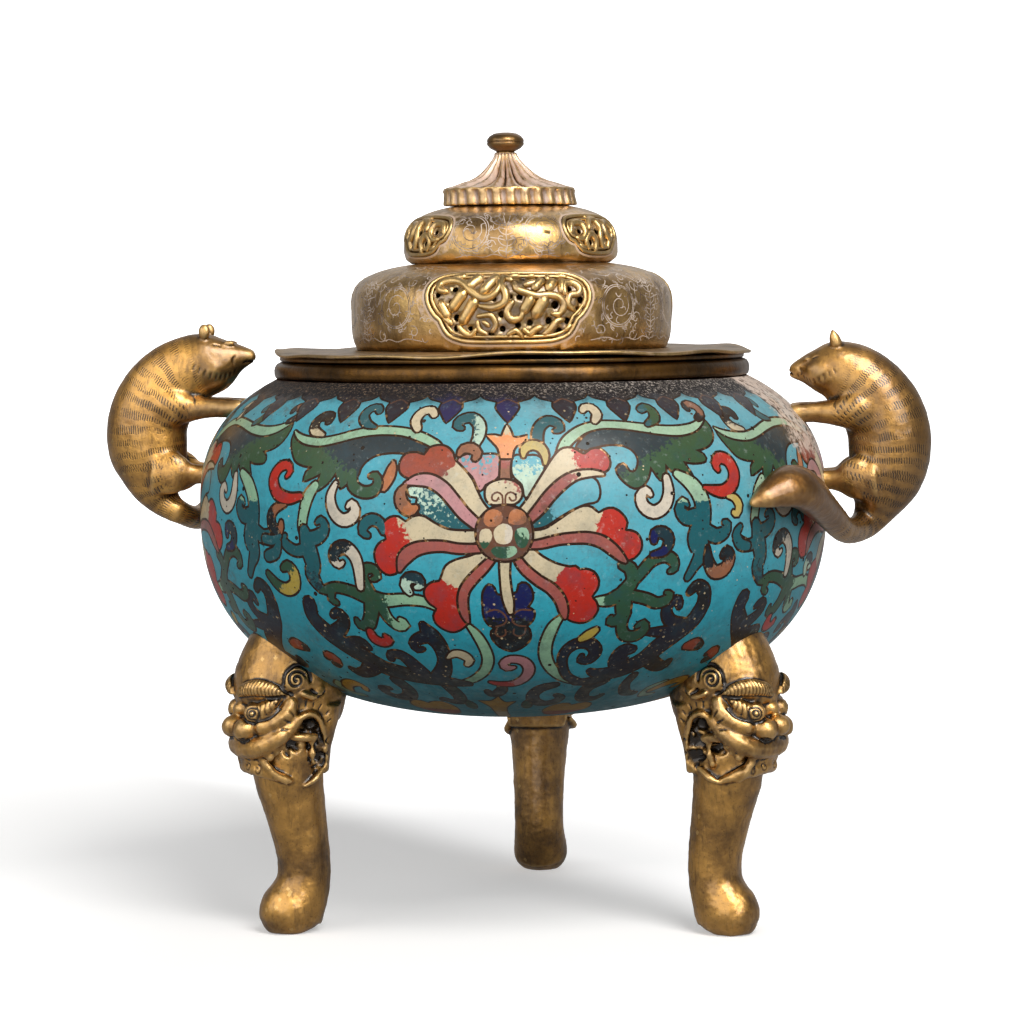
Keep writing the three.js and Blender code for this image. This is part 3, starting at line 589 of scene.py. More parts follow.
    d.cell("cream", [(-1, -1.2), (-1, -1.2), (-6, -1.2), (-10.5, -0.8), (-14.5, 1), (-18, 3), (-21, 2.7), (-23.2, 1.3),
                     (-25.5, 2.7), (-28, 2.5), (-30.2, 0.6), (-30, -1.7), (-29.2, -3.7), (-31.7, -5.3),
                     (-33.1, -8), (-32.4, -11.4), (-30, -13.8), (-27.2, -13.7), (-25.4, -12), (-24.8, -8.5),
                     (-22.5, -6), (-19, -4.6), (-14, -4.3), (-8, -4.8), (-3, -4.4), (-1, -3.6), (-1, -3.6)], 3,
           "red", ((-20.6, 0), (-26.6, -3.4)))
    d.stroke("rose", [(-25.6, -12.8, 1), (-24, -9.3, 3.6), (-21, -6.9, 3.6), (-17, -5.8, 3), (-12, -5.6, 2.6),
                      (-7, -6.3, 2.4), (-1, -6.2, 2)], 4)
    d.cell("cream", [(0.4, -6.8), (0.4, -6.8), (-3.6, -8.6), (-8, -9.8), (-11, -11.5), (-12.3, -14.3), (-13.4, -16.2),
                     (-15.6, -16.6), (-17.7, -18.2), (-18.1, -20.6), (-16.7, -23), (-14.8, -24.5), (-16, -27),
                     (-15.6, -29.5), (-13.4, -31.5), (-10.5, -32.4), (-7.5, -31), (-5.4, -28.4), (-6.6, -25),
                     (-7, -21.5), (-6.4, -18), (-4.5, -15), (-1.5, -12.3), (2, -10), (2, -10)], 3, "red",
           ((-9.6, -15.6), (-11.4, -18)))
    d.stroke("rose", [(2.8, -9, 1.6), (0, -12, 2.4), (-3.5, -15.5, 2.6), (-6, -19, 2.6), (-6.7, -23, 2.6),
                      (-6.2, -27, 2), (-5.6, -29, 0.8)], 4)
    d.stroke("rose", [(9.6, -8.8, 1.8), (12, -12.3, 2.4), (16, -15.8, 2.6), (20, -18.5, 2.8), (22.8, -22, 2.8),
                      (24, -25.5, 2.4), (24.6, -27.8, 1)], 4)
    d.cell("cream", [(11, -8.4), (11, -8.4), (12.4, -6.8), (14.5, -6.8), (17, -8.8), (21, -11), (25.4, -12.2),
                     (27, -12), (28.4, -13.1), (30.2, -13), (32.6, -13.9), (34.1, -16.5), (33.7, -19), (32.3, -21.2),
                     (33.7, -23), (34.5, -25.5), (33.1, -28.2), (30.5, -29.5), (27.4, -29.1), (25, -27.4),
                     (23.6, -23), (21, -19.2), (17, -15.8), (13, -12)], 3, "red", ((21.6, -13.8), (23.2, -14.8)))
    d.stroke("rose", [(13, -5.4, 1.6), (17, -5, 2.2), (22, -3.9, 2.4), (27, -3.5, 2.6), (31, -3.6, 2.8), (35, -4.8, 3),
                      (38.6, -7.4, 2.8), (41.2, -9.8, 1.8), (42.4, -10.8, 0.8)], 4)
    d.cell("cream", [(13.4, -1.4), (13.4, -1.4), (18, -0.9), (22, 1.4), (26, 4), (29.5, 5.5), (32, 5.1), (34, 3.5),
                     (36, 4.4), (38.5, 4.7), (41, 3.1), (42.6, 0.6), (42, -1.7), (43.6, -2), (45.7, -2.8),
                     (47.1, -5), (47, -7.5), (45, -9.7), (42.4, -10.3), (40, -9.4), (37.5, -6.6), (34, -4), (30, -3),
                     (26, -3), (20, -3.4), (16, -4), (13.4, -3.6), (13.4, -3.6)], 3, "red", ((33.4, 1), (35, 0.4)))
    d.cell("teal", [(14, -0.4), (14, -0.4), (18, 0.3), (22, 2.8), (26, 5), (30, 6.6), (33.6, 7.4), (34.4, 10.5),
                    (33, 13.6), (28.6, 14.2), (24.4, 12.6), (20.4, 9), (16.6, 4.6), (13.6, 1.8)], 2,
           "turquoise", ((16, 4), (23, 7)))
    d.stroke("rose", [(12.6, 1.2, 1.8), (16.2, 4.9, 2.8), (20, 9.4, 3), (24, 12.9, 2.8), (28, 14.9, 2.2),
                      (33, 15.4, 1.5), (36, 15, 0.5)], 4, "cream", ((22, 12), (34, 16)))
    d.cell("cream", [(10.6, 4.8), (10.6, 4.8), (13.2, 8), (15.4, 11.5), (18, 15.5), (20.4, 19), (22.5, 21.6),
                     (24.5, 23), (27.2, 23), (29.4, 21.6), (31, 21.1), (33, 22.5), (35.6, 22.7), (37.6, 21),
                     (38.3, 18.6), (37.4, 16.5), (35, 15.6), (31, 15.8), (27, 15.2), (23, 13), (19, 9.5),
                     (16, 5.8), (13.4, 3), (13.4, 3)], 3, "red", ((24, 17.6), (32, 19.6)))
    d.cell("aqua", [(9.2, 20.6), (9, 15.5), (11.8, 12.4), (12.6, 8.8), (15, 12), (17.4, 15.5), (18, 18.8), (16, 20.8),
                    (12.5, 20.8)], 1, "turquoise", ((12, 8), (12, 27)))
    d.cell("turquoise", [(-7.6, 19.6), (-4, 21.6), (0, 21.4), (4.4, 21), (5, 16.5), (3.4, 14), (0.6, 12.6),
                         (-0.8, 10.8), (-3, 15)], 1, "mauve", ((0, 38), (0, 4)))
    # curls beside the crown
    d.stroke("teal", [(-3.2, 24, 2), (-1.7, 27.8, 3.2), (-1.9, 31.8, 3.6), (-4.6, 34.5, 3.6), (-8, 33.5, 3.2),
                      (-8.9, 31.3, 2.6), (-7.4, 30.4, 1.4)], 2, "aqua", ((-6, 33), (0, 33)))
    d.stroke("brown", [(-7.4, 21.6, 1.2), (-6.3, 23.3, 2.4), (-3.7, 23.5, 3), (-1.9, 21.9, 2.6), (-2.5, 20.4, 1.6)], 3)
    d.stroke("teal", [(18.6, 21.4, 1.2), (16.6, 25.6, 3), (17.4, 30.4, 3.2), (20.5, 33, 3.2), (23.4, 31.9, 3),
                      (24.1, 29.8, 2.2), (22.4, 29.1, 1.2)], 2)
    d.stroke("yellow", [(12.1, 21, 1), (12.5, 23.2, 2.4), (15, 24.5, 2.8), (17.6, 23.4, 2.6), (18.7, 21, 2),
                        (18.6, 18.6, 0.8)], 3)


def drawLeaves(d):
    d.cell("slate", [(-69, 28.6), (-69, 28.6), (-66, 25.6), (-62, 24), (-56, 23.8), (-50, 24.8), (-44, 26.4),
                     (-38, 27.8), (-32, 28.2), (-26, 27.4), (-20, 25.4), (-16, 23.2), (-19, 21.8), (-22, 21.6),
                     (-26, 22.2), (-30, 22.2), (-34, 21.4), (-37, 19.6), (-38.9, 17), (-39.6, 14.4), (-42.2, 14.8),
                     (-43, 12.4), (-45, 11), (-45, 11), (-46, 13), (-47.3, 15.8), (-47.3, 15.8), (-49, 13.4),
                     (-51, 11.6), (-53.8, 10), (-53.8, 10), (-53.2, 13), (-52.8, 15.4), (-52.8, 15.4), (-55.4, 14.2),
                     (-59.2, 12.8), (-59.2, 12.8), (-58.6, 15.4), (-56.4, 17.2), (-60, 17.6), (-64, 19),
                     (-67, 22.6), (-68.8, 26)], 1, "leafGreen", ((-45, 23), (-50, 15.5)))
    d.stroke("leafGreen", [(-41.4, 15.6, 3), (-40.6, 11.8, 3.2), (-37, 10, 3), (-33.6, 10.6, 3), (-32.3, 13, 2.4),
                           (-33.4, 15, 2), (-35, 14.8, 1)], 1)
    d.stroke("amber", [(-30.4, 11.6, 2.4), (-28.8, 14.6, 3), (-28.1, 17.4, 2.4), (-27.9, 19, 0.8)], 0)
    d.stroke("paleGreen", [(-69.2, 28.6, 0.3), (-66.4, 26.9, 1.4), (-62, 25.6, 2.2), (-56, 25.2, 2.4), (-50, 26.3, 2.4),
                           (-44, 28, 2.5), (-38, 29.2, 2.6), (-32, 29.5, 2.5), (-26, 29, 2.4), (-20, 27.2, 2.6),
                           (-15, 24.8, 2.2), (-13.6, 24, 1.4)], 2)
    d.cell("slate", [(28.6, 23.6), (28.6, 23.6), (32, 27.2), (36, 29.1), (41, 29.7), (47, 28.9), (54, 27.3), (61, 26.4),
                     (68, 27), (73, 29), (77, 32), (77, 32), (78, 29), (77.1, 25.4), (74.5, 23), (71, 21.9),
                     (68.4, 21.5), (68.4, 21.5), (71.3, 19.7), (71.2, 18), (67, 17.6), (62.9, 18.2), (62.9, 18.2),
                     (64, 16), (65.4, 13.9), (65.4, 13.9), (61.5, 14), (58.6, 15.3), (56.6, 17.7), (56.6, 17.7),
                     (56.2, 15), (56.8, 12.8), (54.2, 13), (52.8, 15), (51.4, 17), (51.4, 17), (50, 13.6),
                     (48, 11.4), (45.6, 10.8), (43.4, 12), (41.4, 14), (40.4, 16.4), (42.6, 17.8), (44.4, 15.4),
                     (46.4, 15.6), (47.6, 17.6), (47.8, 19.8), (46.6, 22.1), (43.6, 23.9), (39, 24.3), (35, 23.7),
                     (31.5, 22.6)], 1, "leafGreen", ((50, 24), (54, 16.5)))
    d.stroke("paleGreen", [(22.4, 21, 0.8), (25, 24.6, 2.8), (28, 27.4, 3), (32, 29.8, 2.6), (38, 31.1, 2.4),
                           (45, 30.7, 2.4), (52, 29.6, 2.6), (58, 28.6, 2.8), (65, 28.2, 3), (71, 29.2, 2.4),
                           (75.5, 31.4, 1.2), (77, 32.4, 0.4)], 2)


def drawHooks(d):
    hooks = (
        ("black", "cream", "", [(-56, 27.6, 1), (-60.4, 29, 2.8), (-61.8, 32, 3), (-60, 34.6, 3), (-57, 34.2, 3.4),
                                (-56.4, 32.8, 2.4)]),
        ("teal", None, "", [(-37, 30.7, 0.8), (-40.8, 32, 2.6), (-43.1, 35, 3), (-42, 38, 3), (-39.4, 38.6, 2.6),
                            (-38, 37, 2)]),
        ("cream", None, "", [(-22, 30.2, 2.2), (-23.4, 33.4, 3), (-22, 36.8, 3), (-19, 37.6, 2.8), (-17.5, 35.6, 2.2)]),
        ("cream", None, "", [(36, 32.6, 2), (37.4, 35.2, 3), (36.2, 38, 3), (33.8, 38.1, 2.6), (32.8, 36.8, 1.8)]),
        ("leafGreen", "teal", "", [(54, 30.8, 1.4), (57.6, 33, 3), (58, 36.2, 3), (56, 37.7, 3), (53.9, 36.6, 2.4)]),
        ("brown", "black", "", [(74.4, 32.2, 1.4), (77.2, 34, 2.2), (77.4, 36.6, 2.6), (75.2, 38.4, 2.8),
                                (73, 37.2, 2.8), (72.8, 36.4, 1.6)]),
        ("red", None, "L", [(-60, 8.2, 1.8), (-65, 7.4, 3), (-70, 8.8, 3.6), (-72.4, 13, 3.6), (-70.4, 16.6, 3),
                            (-67, 17.4, 2.4), (-65.4, 15.6, 2), (-66.6, 14, 1)]),
        ("red", None, "R", [(69.6, 10, 0.8), (73, 9, 2.4), (77, 8.6, 3.4), (80.6, 10.4, 3.8), (82, 14, 3.8),
                            (80.4, 17.7, 3.6), (77, 18.7, 3.2), (75.1, 16.8, 2.8), (75.6, 15.2, 1.6)]),
        ("white", None, "", [(-46.8, 12.4, 1.4), (-48.4, 8.4, 2.6), (-47.2, 4, 3.2), (-44, 1.6, 3.4), (-40.6, 2.6, 3.4),
                             (-39.6, 5, 2.8), (-41, 6.7, 2), (-42.2, 5.6, 1)]),
        ("white", None, "", [(56.3, 13.4, 2), (56.6, 8.8, 3), (55, 5, 3.4), (51.4, 3.4, 3.4), (48.2, 5.2, 3.2),
                             (47.4, 8.2, 3), (49.2, 9.9, 2.2), (50.6, 8.6, 1.2)]),
        ("yellow", None, "R", [(78.4, 6.9, 0.8), (81, 6.4, 2), (83, 4, 2.6), (82, 1.6, 2.2), (80.6, 2, 1.4)]),
        ("yellow", "green", "L", [(-76, -16, 2), (-72, -19.4, 3.2), (-68, -20.4, 3.6), (-64.4, -18.6, 3.8),
                                  (-64, -15, 3.6), (-66.4, -13, 3), (-68.6, -13.8, 1.8)]),
        ("black", "brown", "L", [(-66, 5.4, 0.6), (-70.4, 4.2, 2.4), (-72.6, 1.4, 3), (-71.4, -1.8, 3),
                                 (-68.6, -2.2, 2.6), (-68, 0, 1.6)]),
        ("teal", None, "L", [(-68.6, -4, 1.2), (-72, -5.4, 2.6), (-76, -5.2, 2.6)]),
        ("teal", None, "L", [(-69.4, -6, 2), (-71, -9, 3.4), (-75, -10.4, 3.2)]),
        ("brown", "black", "R", [(70.4, -8, 1.2), (71, -12, 3), (73.6, -15.4, 3.6), (77.6, -15, 4), (79.6, -11.8, 3.6),
                                 (78, -9.4, 2.8), (76.4, -10.6, 1.6)]),
        ("teal", None, "R", [(83.4, -2.4, 1.6), (81.8, -4.6, 2.8), (83.6, -7.6, 3.2), (87, -8.4, 2.6)]),
        ("black", "white", "", [(-39.2, -18.4, 2), (-39.2, -12, 3), (-40.6, -8.4, 3.4), (-43.6, -6.4, 3.6),
                                (-46.8, -7.6, 3.4), (-47.6, -10.2, 2.6), (-45.8, -11.8, 1.8), (-44.4, -11, 1)]),
        ("red", None, "", [(-39.3, -33.4, 2.4), (-38.6, -36, 3.2), (-36, -37.3, 3), (-33.4, -36.2, 2.8),
                           (-34.2, -34.8, 1.4)]),
        ("slate", "aqua", "", [(-23, -19.6, 1.8), (-24.2, -17.4, 2.8), (-22.8, -15.2, 3), (-20, -15.5, 3),
                               (-19.3, -17.4, 2.2), (-20.8, -18, 1.2)]),
        ("teal", None, "", [(-30.4, -1.6, 1.4), (-31.4, 1, 2.8), (-34, 2, 3), (-36.5, 0.6, 3), (-37, -1.8, 2.4),
                            (-35.4, -2.7, 1.4)]),
        ("slate", "navy", "", [(51, -9.2, 1.2), (55, -8.2, 2.4), (56.5, -5, 3), (54.6, -2.8, 3), (51.8, -3, 2.8),
                               (51.5, -5, 1.8)]),
        ("cream", None, "", [(-14.2, -43, 0.8), (-11.6, -41.2, 2.4), (-8.6, -41.8, 3), (-6.8, -44, 2.8),
                             (-7.8, -46, 1.8)]),
        ("yellow", None, "", [(30.6, -35.8, 2), (33, -34.2, 3), (35, -32.6, 2)]),
        ("paleGreen", None, "", [(-5.6, -30.2, 1), (-3, -34, 2.6), (-0.8, -39.6, 3.2), (-0.4, -44.6, 3.4),
                                 (-2.4, -49.6, 3.2), (-6.6, -53.6, 2.8), (-11, -55.6, 2), (-14, -56, 0.8)]),
        ("paleGreen", None, "", [(23.6, -27.4, 1), (21, -31, 3), (19.2, -37, 3.6), (19.4, -42.6, 3.8),
                                 (21.8, -48, 3.6), (26, -52.6, 3.2), (30.6, -55.6, 2.2), (34, -57, 0.8)]),
        ("red", "mauve", "", [(8.6, -47.4, 1.2), (6.2, -47.8, 2.4), (4.9, -45.6, 2.6), (7.6, -43.6, 2.8),
                              (12, -44.6, 3.2), (14, -48.4, 3.6), (12.6, -53, 3.4), (8.6, -56.2, 3),
                              (3.6, -56.6, 2.4), (-0.6, -55.4, 1.2)]),
        ("brick", "black", "", [(-64.4, -45.6, 1.8), (-62.6, -44.6, 4), (-60.8, -46.4, 4.4), (-62.4, -48.6, 3)]),
        ("brick", "black", "", [(71.6, -41, 3), (74.6, -40.6, 4.6), (77.6, -41.6, 3)]),
    )
    for paint, other, tag, points in hooks:
        first, last = points[0], points[-1]
        fade = (last[:2], first[:2]) if other in ("mauve", "cream") else (points[len(points) // 2][:2], last[:2])
        d.stroke(paint, points, 0 if "paleGreen" in paint else 3, other, fade if other else None, tag)


def drawBranches(d):
    branches = (
        ("teal", None, (
            [(-58.4, -2, 3.4), (-57, -7, 5.4), (-55.6, -12, 5), (-56.4, -15, 4.6), (-54.4, -18.8, 3),
             (-52.4, -20.4, 1)],
            [(-57.5, -7, 3.6), (-61.6, -8.2, 3), (-65.4, -7, 3), (-67.4, -5, 2.4), (-66.4, -3.9, 1.4)],
            [(-57, -4.4, 4), (-53.6, -3.8, 4), (-51, -2, 3.4), (-50.6, 0, 2.6), (-52, 1.4, 2), (-53.4, 0.6, 1)])),
        ("green", ((-34, -22), (-28, -22)), (
            [(-15, -24.4, 1.4), (-19, -22.4, 2.6), (-25, -21.9, 3), (-31, -22.4, 3.6), (-36, -21.8, 5)],
            [(-36.6, -21, 5), (-38.2, -15.6, 3.8), (-36.8, -12.8, 3), (-33.9, -12.8, 2.4), (-33, -15, 2),
             (-34.8, -15.8, 1)],
            [(-37, -21.6, 4), (-43, -19.6, 3), (-48, -18.8, 2.8), (-52, -19.8, 2.4), (-54.4, -20.2, 0.8)],
            [(-50, -20, 2.4), (-50.6, -22.6, 2.2), (-48.8, -23.7, 1.4)],
            [(-35.8, -23, 5), (-37.4, -27.8, 4), (-39.4, -30.8, 4), (-42.4, -30.8, 2.6), (-43, -29.2, 1.2)],
            [(-33.4, -23, 3.6), (-31.5, -28.2, 2.8), (-28.6, -31, 2.8), (-26, -30.2, 2.6), (-27.4, -28.6, 1.4)])),
        ("teal", ((67.6, 4), (67.6, 8)), (
            [(60, 14.4, 2), (64.6, 11.4, 4), (67.6, 7.6, 4.6), (68.6, 4, 5), (68.2, 0, 5.6), (66.8, -5, 7),
             (68, -9.6, 5), (66, -13, 3), (63.8, -16.6, 2)],
            [(66.4, 1.6, 4.6), (62.4, 1.4, 4), (60.2, 4, 3), (61.6, 6.2, 2.2), (63, 5, 1)],
            [(69, -2.5, 4), (73.4, -4.6, 4), (77, -3.6, 3.4), (78, -1.4, 2.6), (76.6, -0.7, 1.2)])),
        ("green", ((38, -22.4), (35, -22.8)), (
            [(34, -22.8, 2.2), (38, -22.6, 3.4), (42, -21.4, 4.6), (43, -25, 4.6), (43, -28, 4), (41.2, -29.6, 3.4),
             (39, -29.7, 2.2), (39.4, -28.2, 1)],
            [(42.4, -20.6, 4.6), (45, -16.6, 3.6), (44, -13, 3.4), (41.6, -11.9, 2.4)],
            [(45.4, -17, 2.6), (48, -14, 3), (51, -11, 3), (55, -9.8, 3), (58, -11, 3), (58.8, -13.6, 2.2),
             (57.2, -14.4, 1.2)],
            [(43.4, -21, 3), (50, -22.6, 3), (54, -24.2, 3), (57.4, -23.4, 3), (58.4, -21.6, 1.8), (56.8, -21, 1)],
            [(44, -26.6, 3.2), (43.4, -31.4, 3), (45.4, -35, 3.4), (49.4, -35.4, 3.6), (51.8, -33, 3),
             (50.6, -30.8, 2.2), (48.8, -32, 1.2)])),
    )
    for paint, fade, strokes in branches:
        for points in strokes:
            d.stroke(paint, points, 2, "paleGreen" if fade else "slate", fade or ((-57, -4), (-57, -30)))
    d.stroke("paleGreen", [(-54.4, 11.6, 2.4), (-57, 8, 3.4), (-58.6, 3, 3), (-59.2, -1, 2.8), (-58.6, -3.4, 2.2)], 1)
    # dark scrolls over the lower half
    scrolls = (
        ("black", [(-60, -24.6, 4.6), (-60.4, -29, 4.6), (-57, -34, 6), (-52, -39, 6.5), (-46, -44, 7), (-40, -49, 7),
                   (-32, -52, 7), (-24, -54, 6), (-16, -55.6, 4.4), (-9, -56.6, 2)]),
        ("black", [(-54, -35, 5), (-49.2, -31.6, 3.6), (-47.7, -28.6, 3), (-49.8, -27, 2.6), (-51.8, -28.2, 1.6)]),
        ("black", [(-50, -38.4, 4), (-44.6, -37.6, 3.4), (-42.4, -39.6, 2)]),
        ("black", [(-46, -49, 6), (-50, -51.6, 4.6), (-54, -52.4, 4), (-56.2, -50.6, 2.2)]),
        ("black", [(-26, -51, 6), (-28.4, -45.6, 4.6), (-31, -42.4, 3.4), (-34.4, -42.2, 2.8), (-35.6, -44.2, 2)]),
        ("black", [(-20, -53, 6), (-17, -48.6, 5), (-15.6, -43.6, 3.8), (-16, -38, 4.4), (-18.6, -33.6, 5),
                   (-20.2, -30.4, 2)]),
        ("black", [(-19, -34.4, 4), (-22.6, -35.4, 3.4), (-25, -37.6, 2.4), (-24, -39.9, 1.8), (-22, -39.3, 1)]),
        ("black", [(71.8, -25.4, 4.6), (69.6, -31, 5.4), (65, -35.6, 6), (60, -40, 7), (56, -45.6, 7), (50, -50, 7),
                   (44, -52, 6), (38.6, -51.2, 3.4), (36.6, -50, 1.8)]),
        ("navy", [(71.8, -26, 4.4), (71, -21.4, 3.8), (67.8, -19.4, 3), (65.4, -21.2, 2)]),
        ("black", [(62, -34.4, 4), (56.6, -34.4, 2.8), (53, -34.2, 1.6)]),
        ("black", [(67, -32.6, 4), (60.8, -30.8, 3.4), (58.2, -27.4, 3), (58.9, -24.4, 2.8), (61.6, -23.8, 2.6),
                   (62.6, -25.8, 1.6)]),
        ("black", [(48, -50, 5), (46, -45.4, 6.4), (46.8, -41.6, 5.6), (49.6, -41, 3)]),
        ("black", [(57, -45, 5), (62.6, -49, 4.6), (66.6, -50, 3.8), (67.6, -47.8, 2.4)]),
        ("black", [(34, -56.4, 3), (28.4, -52.4, 2.6), (25.6, -46, 2.6), (25.8, -41, 3), (29, -37.7, 3.4),
                   (33.6, -37.6, 3.6), (36.5, -41, 3.6), (35, -44.7, 3), (32, -44.6, 2.2), (31.9, -42.6, 1.2)]),
        ("black", [(33, -56.6, 2.6), (39, -56, 4), (44, -54, 4)]),
        ("deepGreen", [(2.6, -56.4, 1.6), (3.7, -59.6, 3.6), (1.6, -63, 4), (-1.4, -63.6, 3.2), (-2.6, -61.6, 2)]),
        ("deepGreen", [(-19, -56.6, 4), (-16.8, -62, 5), (-16, -67, 5), (-17.8, -71, 4.2), (-21.6, -70.8, 3.4),
                       (-24.2, -68.6, 2.8), (-25.8, -69.6, 1.4)]),
        ("deepGreen", [(25, -57.6, 2.6), (19.4, -60, 4.2), (16.6, -64.6, 4.6), (17.8, -70, 5), (22.6, -73, 4.6),
                       (27.6, -71.4, 4.2), (29.4, -67.6, 3.4), (27, -65.2, 2)]),
        ("deepGreen", [(44, -56, 5), (39.6, -60, 5), (38.6, -65, 5), (41, -69.4, 4.6), (46, -70, 3.6), (48.6, -67, 2)]),
        ("deepGreen", [(-39, -56, 5), (-37.4, -62, 5.2), (-41, -67.4, 5.2), (-47, -69, 4.6), (-51, -66, 4),
                       (-50, -62, 3.4), (-46.6, -61.4, 2)]),
        ("deepGreen", [(56, -54, 3), (55.6, -60, 3.4), (60, -66, 3.4), (66, -67.6, 2.4)]),
    )
    for paint, points in scrolls:
        d.stroke(paint, points, 1 if paint != "deepGreen" else 0, "ink" if paint == "black" else "black",
                 ((points[0][0] + 9, points[0][1]), (points[0][0] - 3, points[0][1])))


def drawUnderside(d):
    d.cell("gold", [(1.4, -65.8), (1.4, -65.8), (2.6, -69), (4.6, -71.2), (9, -70.4), (9, -70.4), (6.4, -73.6),
                    (4.6, -77), (4, -83), (4.4, -90), (4.6, -97), (-3, -97), (-3, -90), (-3, -83), (-3.6, -77),
                    (-5.4, -73), (-8, -69.6), (-8, -69.6), (-3.6, -69.9), (-0.8, -68.6)], 1, "cream",
           ((0, -78), (0, -88)))
    d.cell("green", [(-13.4, -69.2), (-13.4, -69.2), (-11, -73), (-11.4, -77.4), (-13.6, -79), (-15.4, -76.4),
                     (-15, -72)], 1)
    d.cell("green", [(14, -69.4), (14, -69.4), (12.6, -72.6), (13, -76.6), (15.4, -78.2), (17, -75.6), (16, -71.8)], 1)
    for side, lift in ((-36, 0), (37.5, -2.5)):
        d.cell("gold", [(side - 12.5, -80 + lift), (side - 10.5, -74.6 + lift), (side - 6, -71.4 + lift),
                        (side - 1.6, -71.6 + lift), (side + 0.4, -73.6 + lift), (side + 4, -71.8 + lift),
                        (side + 9, -71.6 + lift), (side + 12.4, -75.4 + lift), (side + 12.6, -81 + lift),
                        (side + 8, -88 + lift), (side, -91 + lift), (side - 8, -88 + lift)], 2, "brick",
               ((side, -79 + lift), (side, -84 + lift)))
    d.stroke("gold", [(-75, -66, 3), (-70, -61.4, 4), (-64, -59.6, 4), (-60.8, -62, 3), (-63, -64.8, 2)], 2)
    d.stroke("paleGreen", [(76, -60, 2), (71, -64, 3), (73, -69.6, 3), (79, -70, 2)], 1)


def makeBowl():
    s = bowlShape
    quarter = math.pi / 2
    meridian = squaredOval(s["radius"], s["middle"], s["lower"], s["lowerPower"], -quarter, 0, 400)
    zero = len(meridian) - 1
    meridian += squaredOval(s["radius"], s["middle"], s["upper"], s["upperPower"], 0, 0.93, 240)[1:]
    face = Turned(meridian, zero, bowlSpread)
    d = Drawing(s["wire"])
    drawFlower(d)
    drawLeaves(d)
    drawHooks(d)
    drawBranches(d)
    drawUnderside(d)
    layers = d.layers(unitPlaces)
    band = Drawing(s["wire"])
    girth = 2 * math.pi * bowlSpread
    pitch = girth / lappets["count"]
    for k in range(-16, 17):
        at = lappets["start"] + k * pitch
        top = s["mouth"] + 3
        sway = luck.uniform(-0.8, 0.8)
        band.cell("black", [(at + x, y) for x, y in (
            (-pitch / 2, top), (-pitch / 2, top), (-pitch / 2, 45.2), (-pitch / 2, 45.2), (-8, 43), (-5, 41.9),
            (-3.4, 41), (-3.8, 38.6), (-2 + sway / 2, 35.4), (sway, lappets["tip"]), (sway, lappets["tip"]),
            (2 + sway / 2, 35.4), (3.8, 38.6), (3.4, 41), (5, 41.9), (8, 43), (pitch / 2, 45.2), (pitch / 2, 45.2),
            (pitch / 2, top), (pitch / 2, top))], 0, "navy" if -18 < at < 16 else "ink", ((at + 9, 47), (at - 3, 37)))
        band.stroke("copperBrown", [(at - 3.2, 40.6, 0.6), (at, 42.4, 0.6), (at + 3.2, 40.6, 0.6)], 1, wired=False)
    layers += band.layers([(0, "")])
    region = (-girth / 2, girth / 2, s["foot"], s["mouth"])
    wrapped = reaching([([p + Vector((turn, 0)) for p in outline], shape, shift + turn)
                        for outline, shape, shift in layers for turn in (0, -girth, girth)], region)
    spots, triangles, top = pave(wrapped, region, s["grid"])
    mesh = pavedMesh("enamelledBowl", face, spots, triangles, top, wrapped, "turquoise")
    bm = bmesh.new()
    bm.from_mesh(mesh)
    bmesh.ops.remove_doubles(bm, verts=bm.verts, dist=2e-6)
    edges = [e for e in bm.edges if e.is_boundary]
    high = [e for e in edges if e.verts[0].co.z > s["middle"] * mm]
    low = [e for e in edges if e.verts[0].co.z < s["middle"] * mm]
    mouthRadius, mouthHeight = face.radiusHeight(s["mouth"])
    radius, upper, lower = (s[key] - s["wall"] for key in ("radius", "upper", "lower"))
    inner = squaredOval(radius, s["middle"], upper, s["upperPower"], 0, 0.9, 8)[::-1]
    inner += squaredOval(radius, s["middle"], lower, s["lowerPower"], 0, -quarter * 0.99, 14)[1:]
    drawOut(bm, high, [(mouthRadius - s["wall"], mouthHeight)] + inner, 1)
    drawOut(bm, low, [face.radiusHeight(v) for v in (-112, -120, -128, -134)], 2, "turquoise")
    bmesh.ops.recalc_face_normals(bm, faces=bm.faces)
    bm.to_mesh(mesh)
    bm.free()
    smoothNormals(mesh)
    pieceFrom(mesh, "enamelledBowlSkin", "vessel", ["enamelled_bowl"], [enamel, copper, enamel])
    print(f"bowl: {len(wrapped)} outlines, {len(mesh.polygons)} faces")


makeBowl()


giltLook = {"share": 0.8, "residue": 0, "roughness": 0.36, "coat": 0.5, "rub": 0.35, "engraved": False, "fur": False}


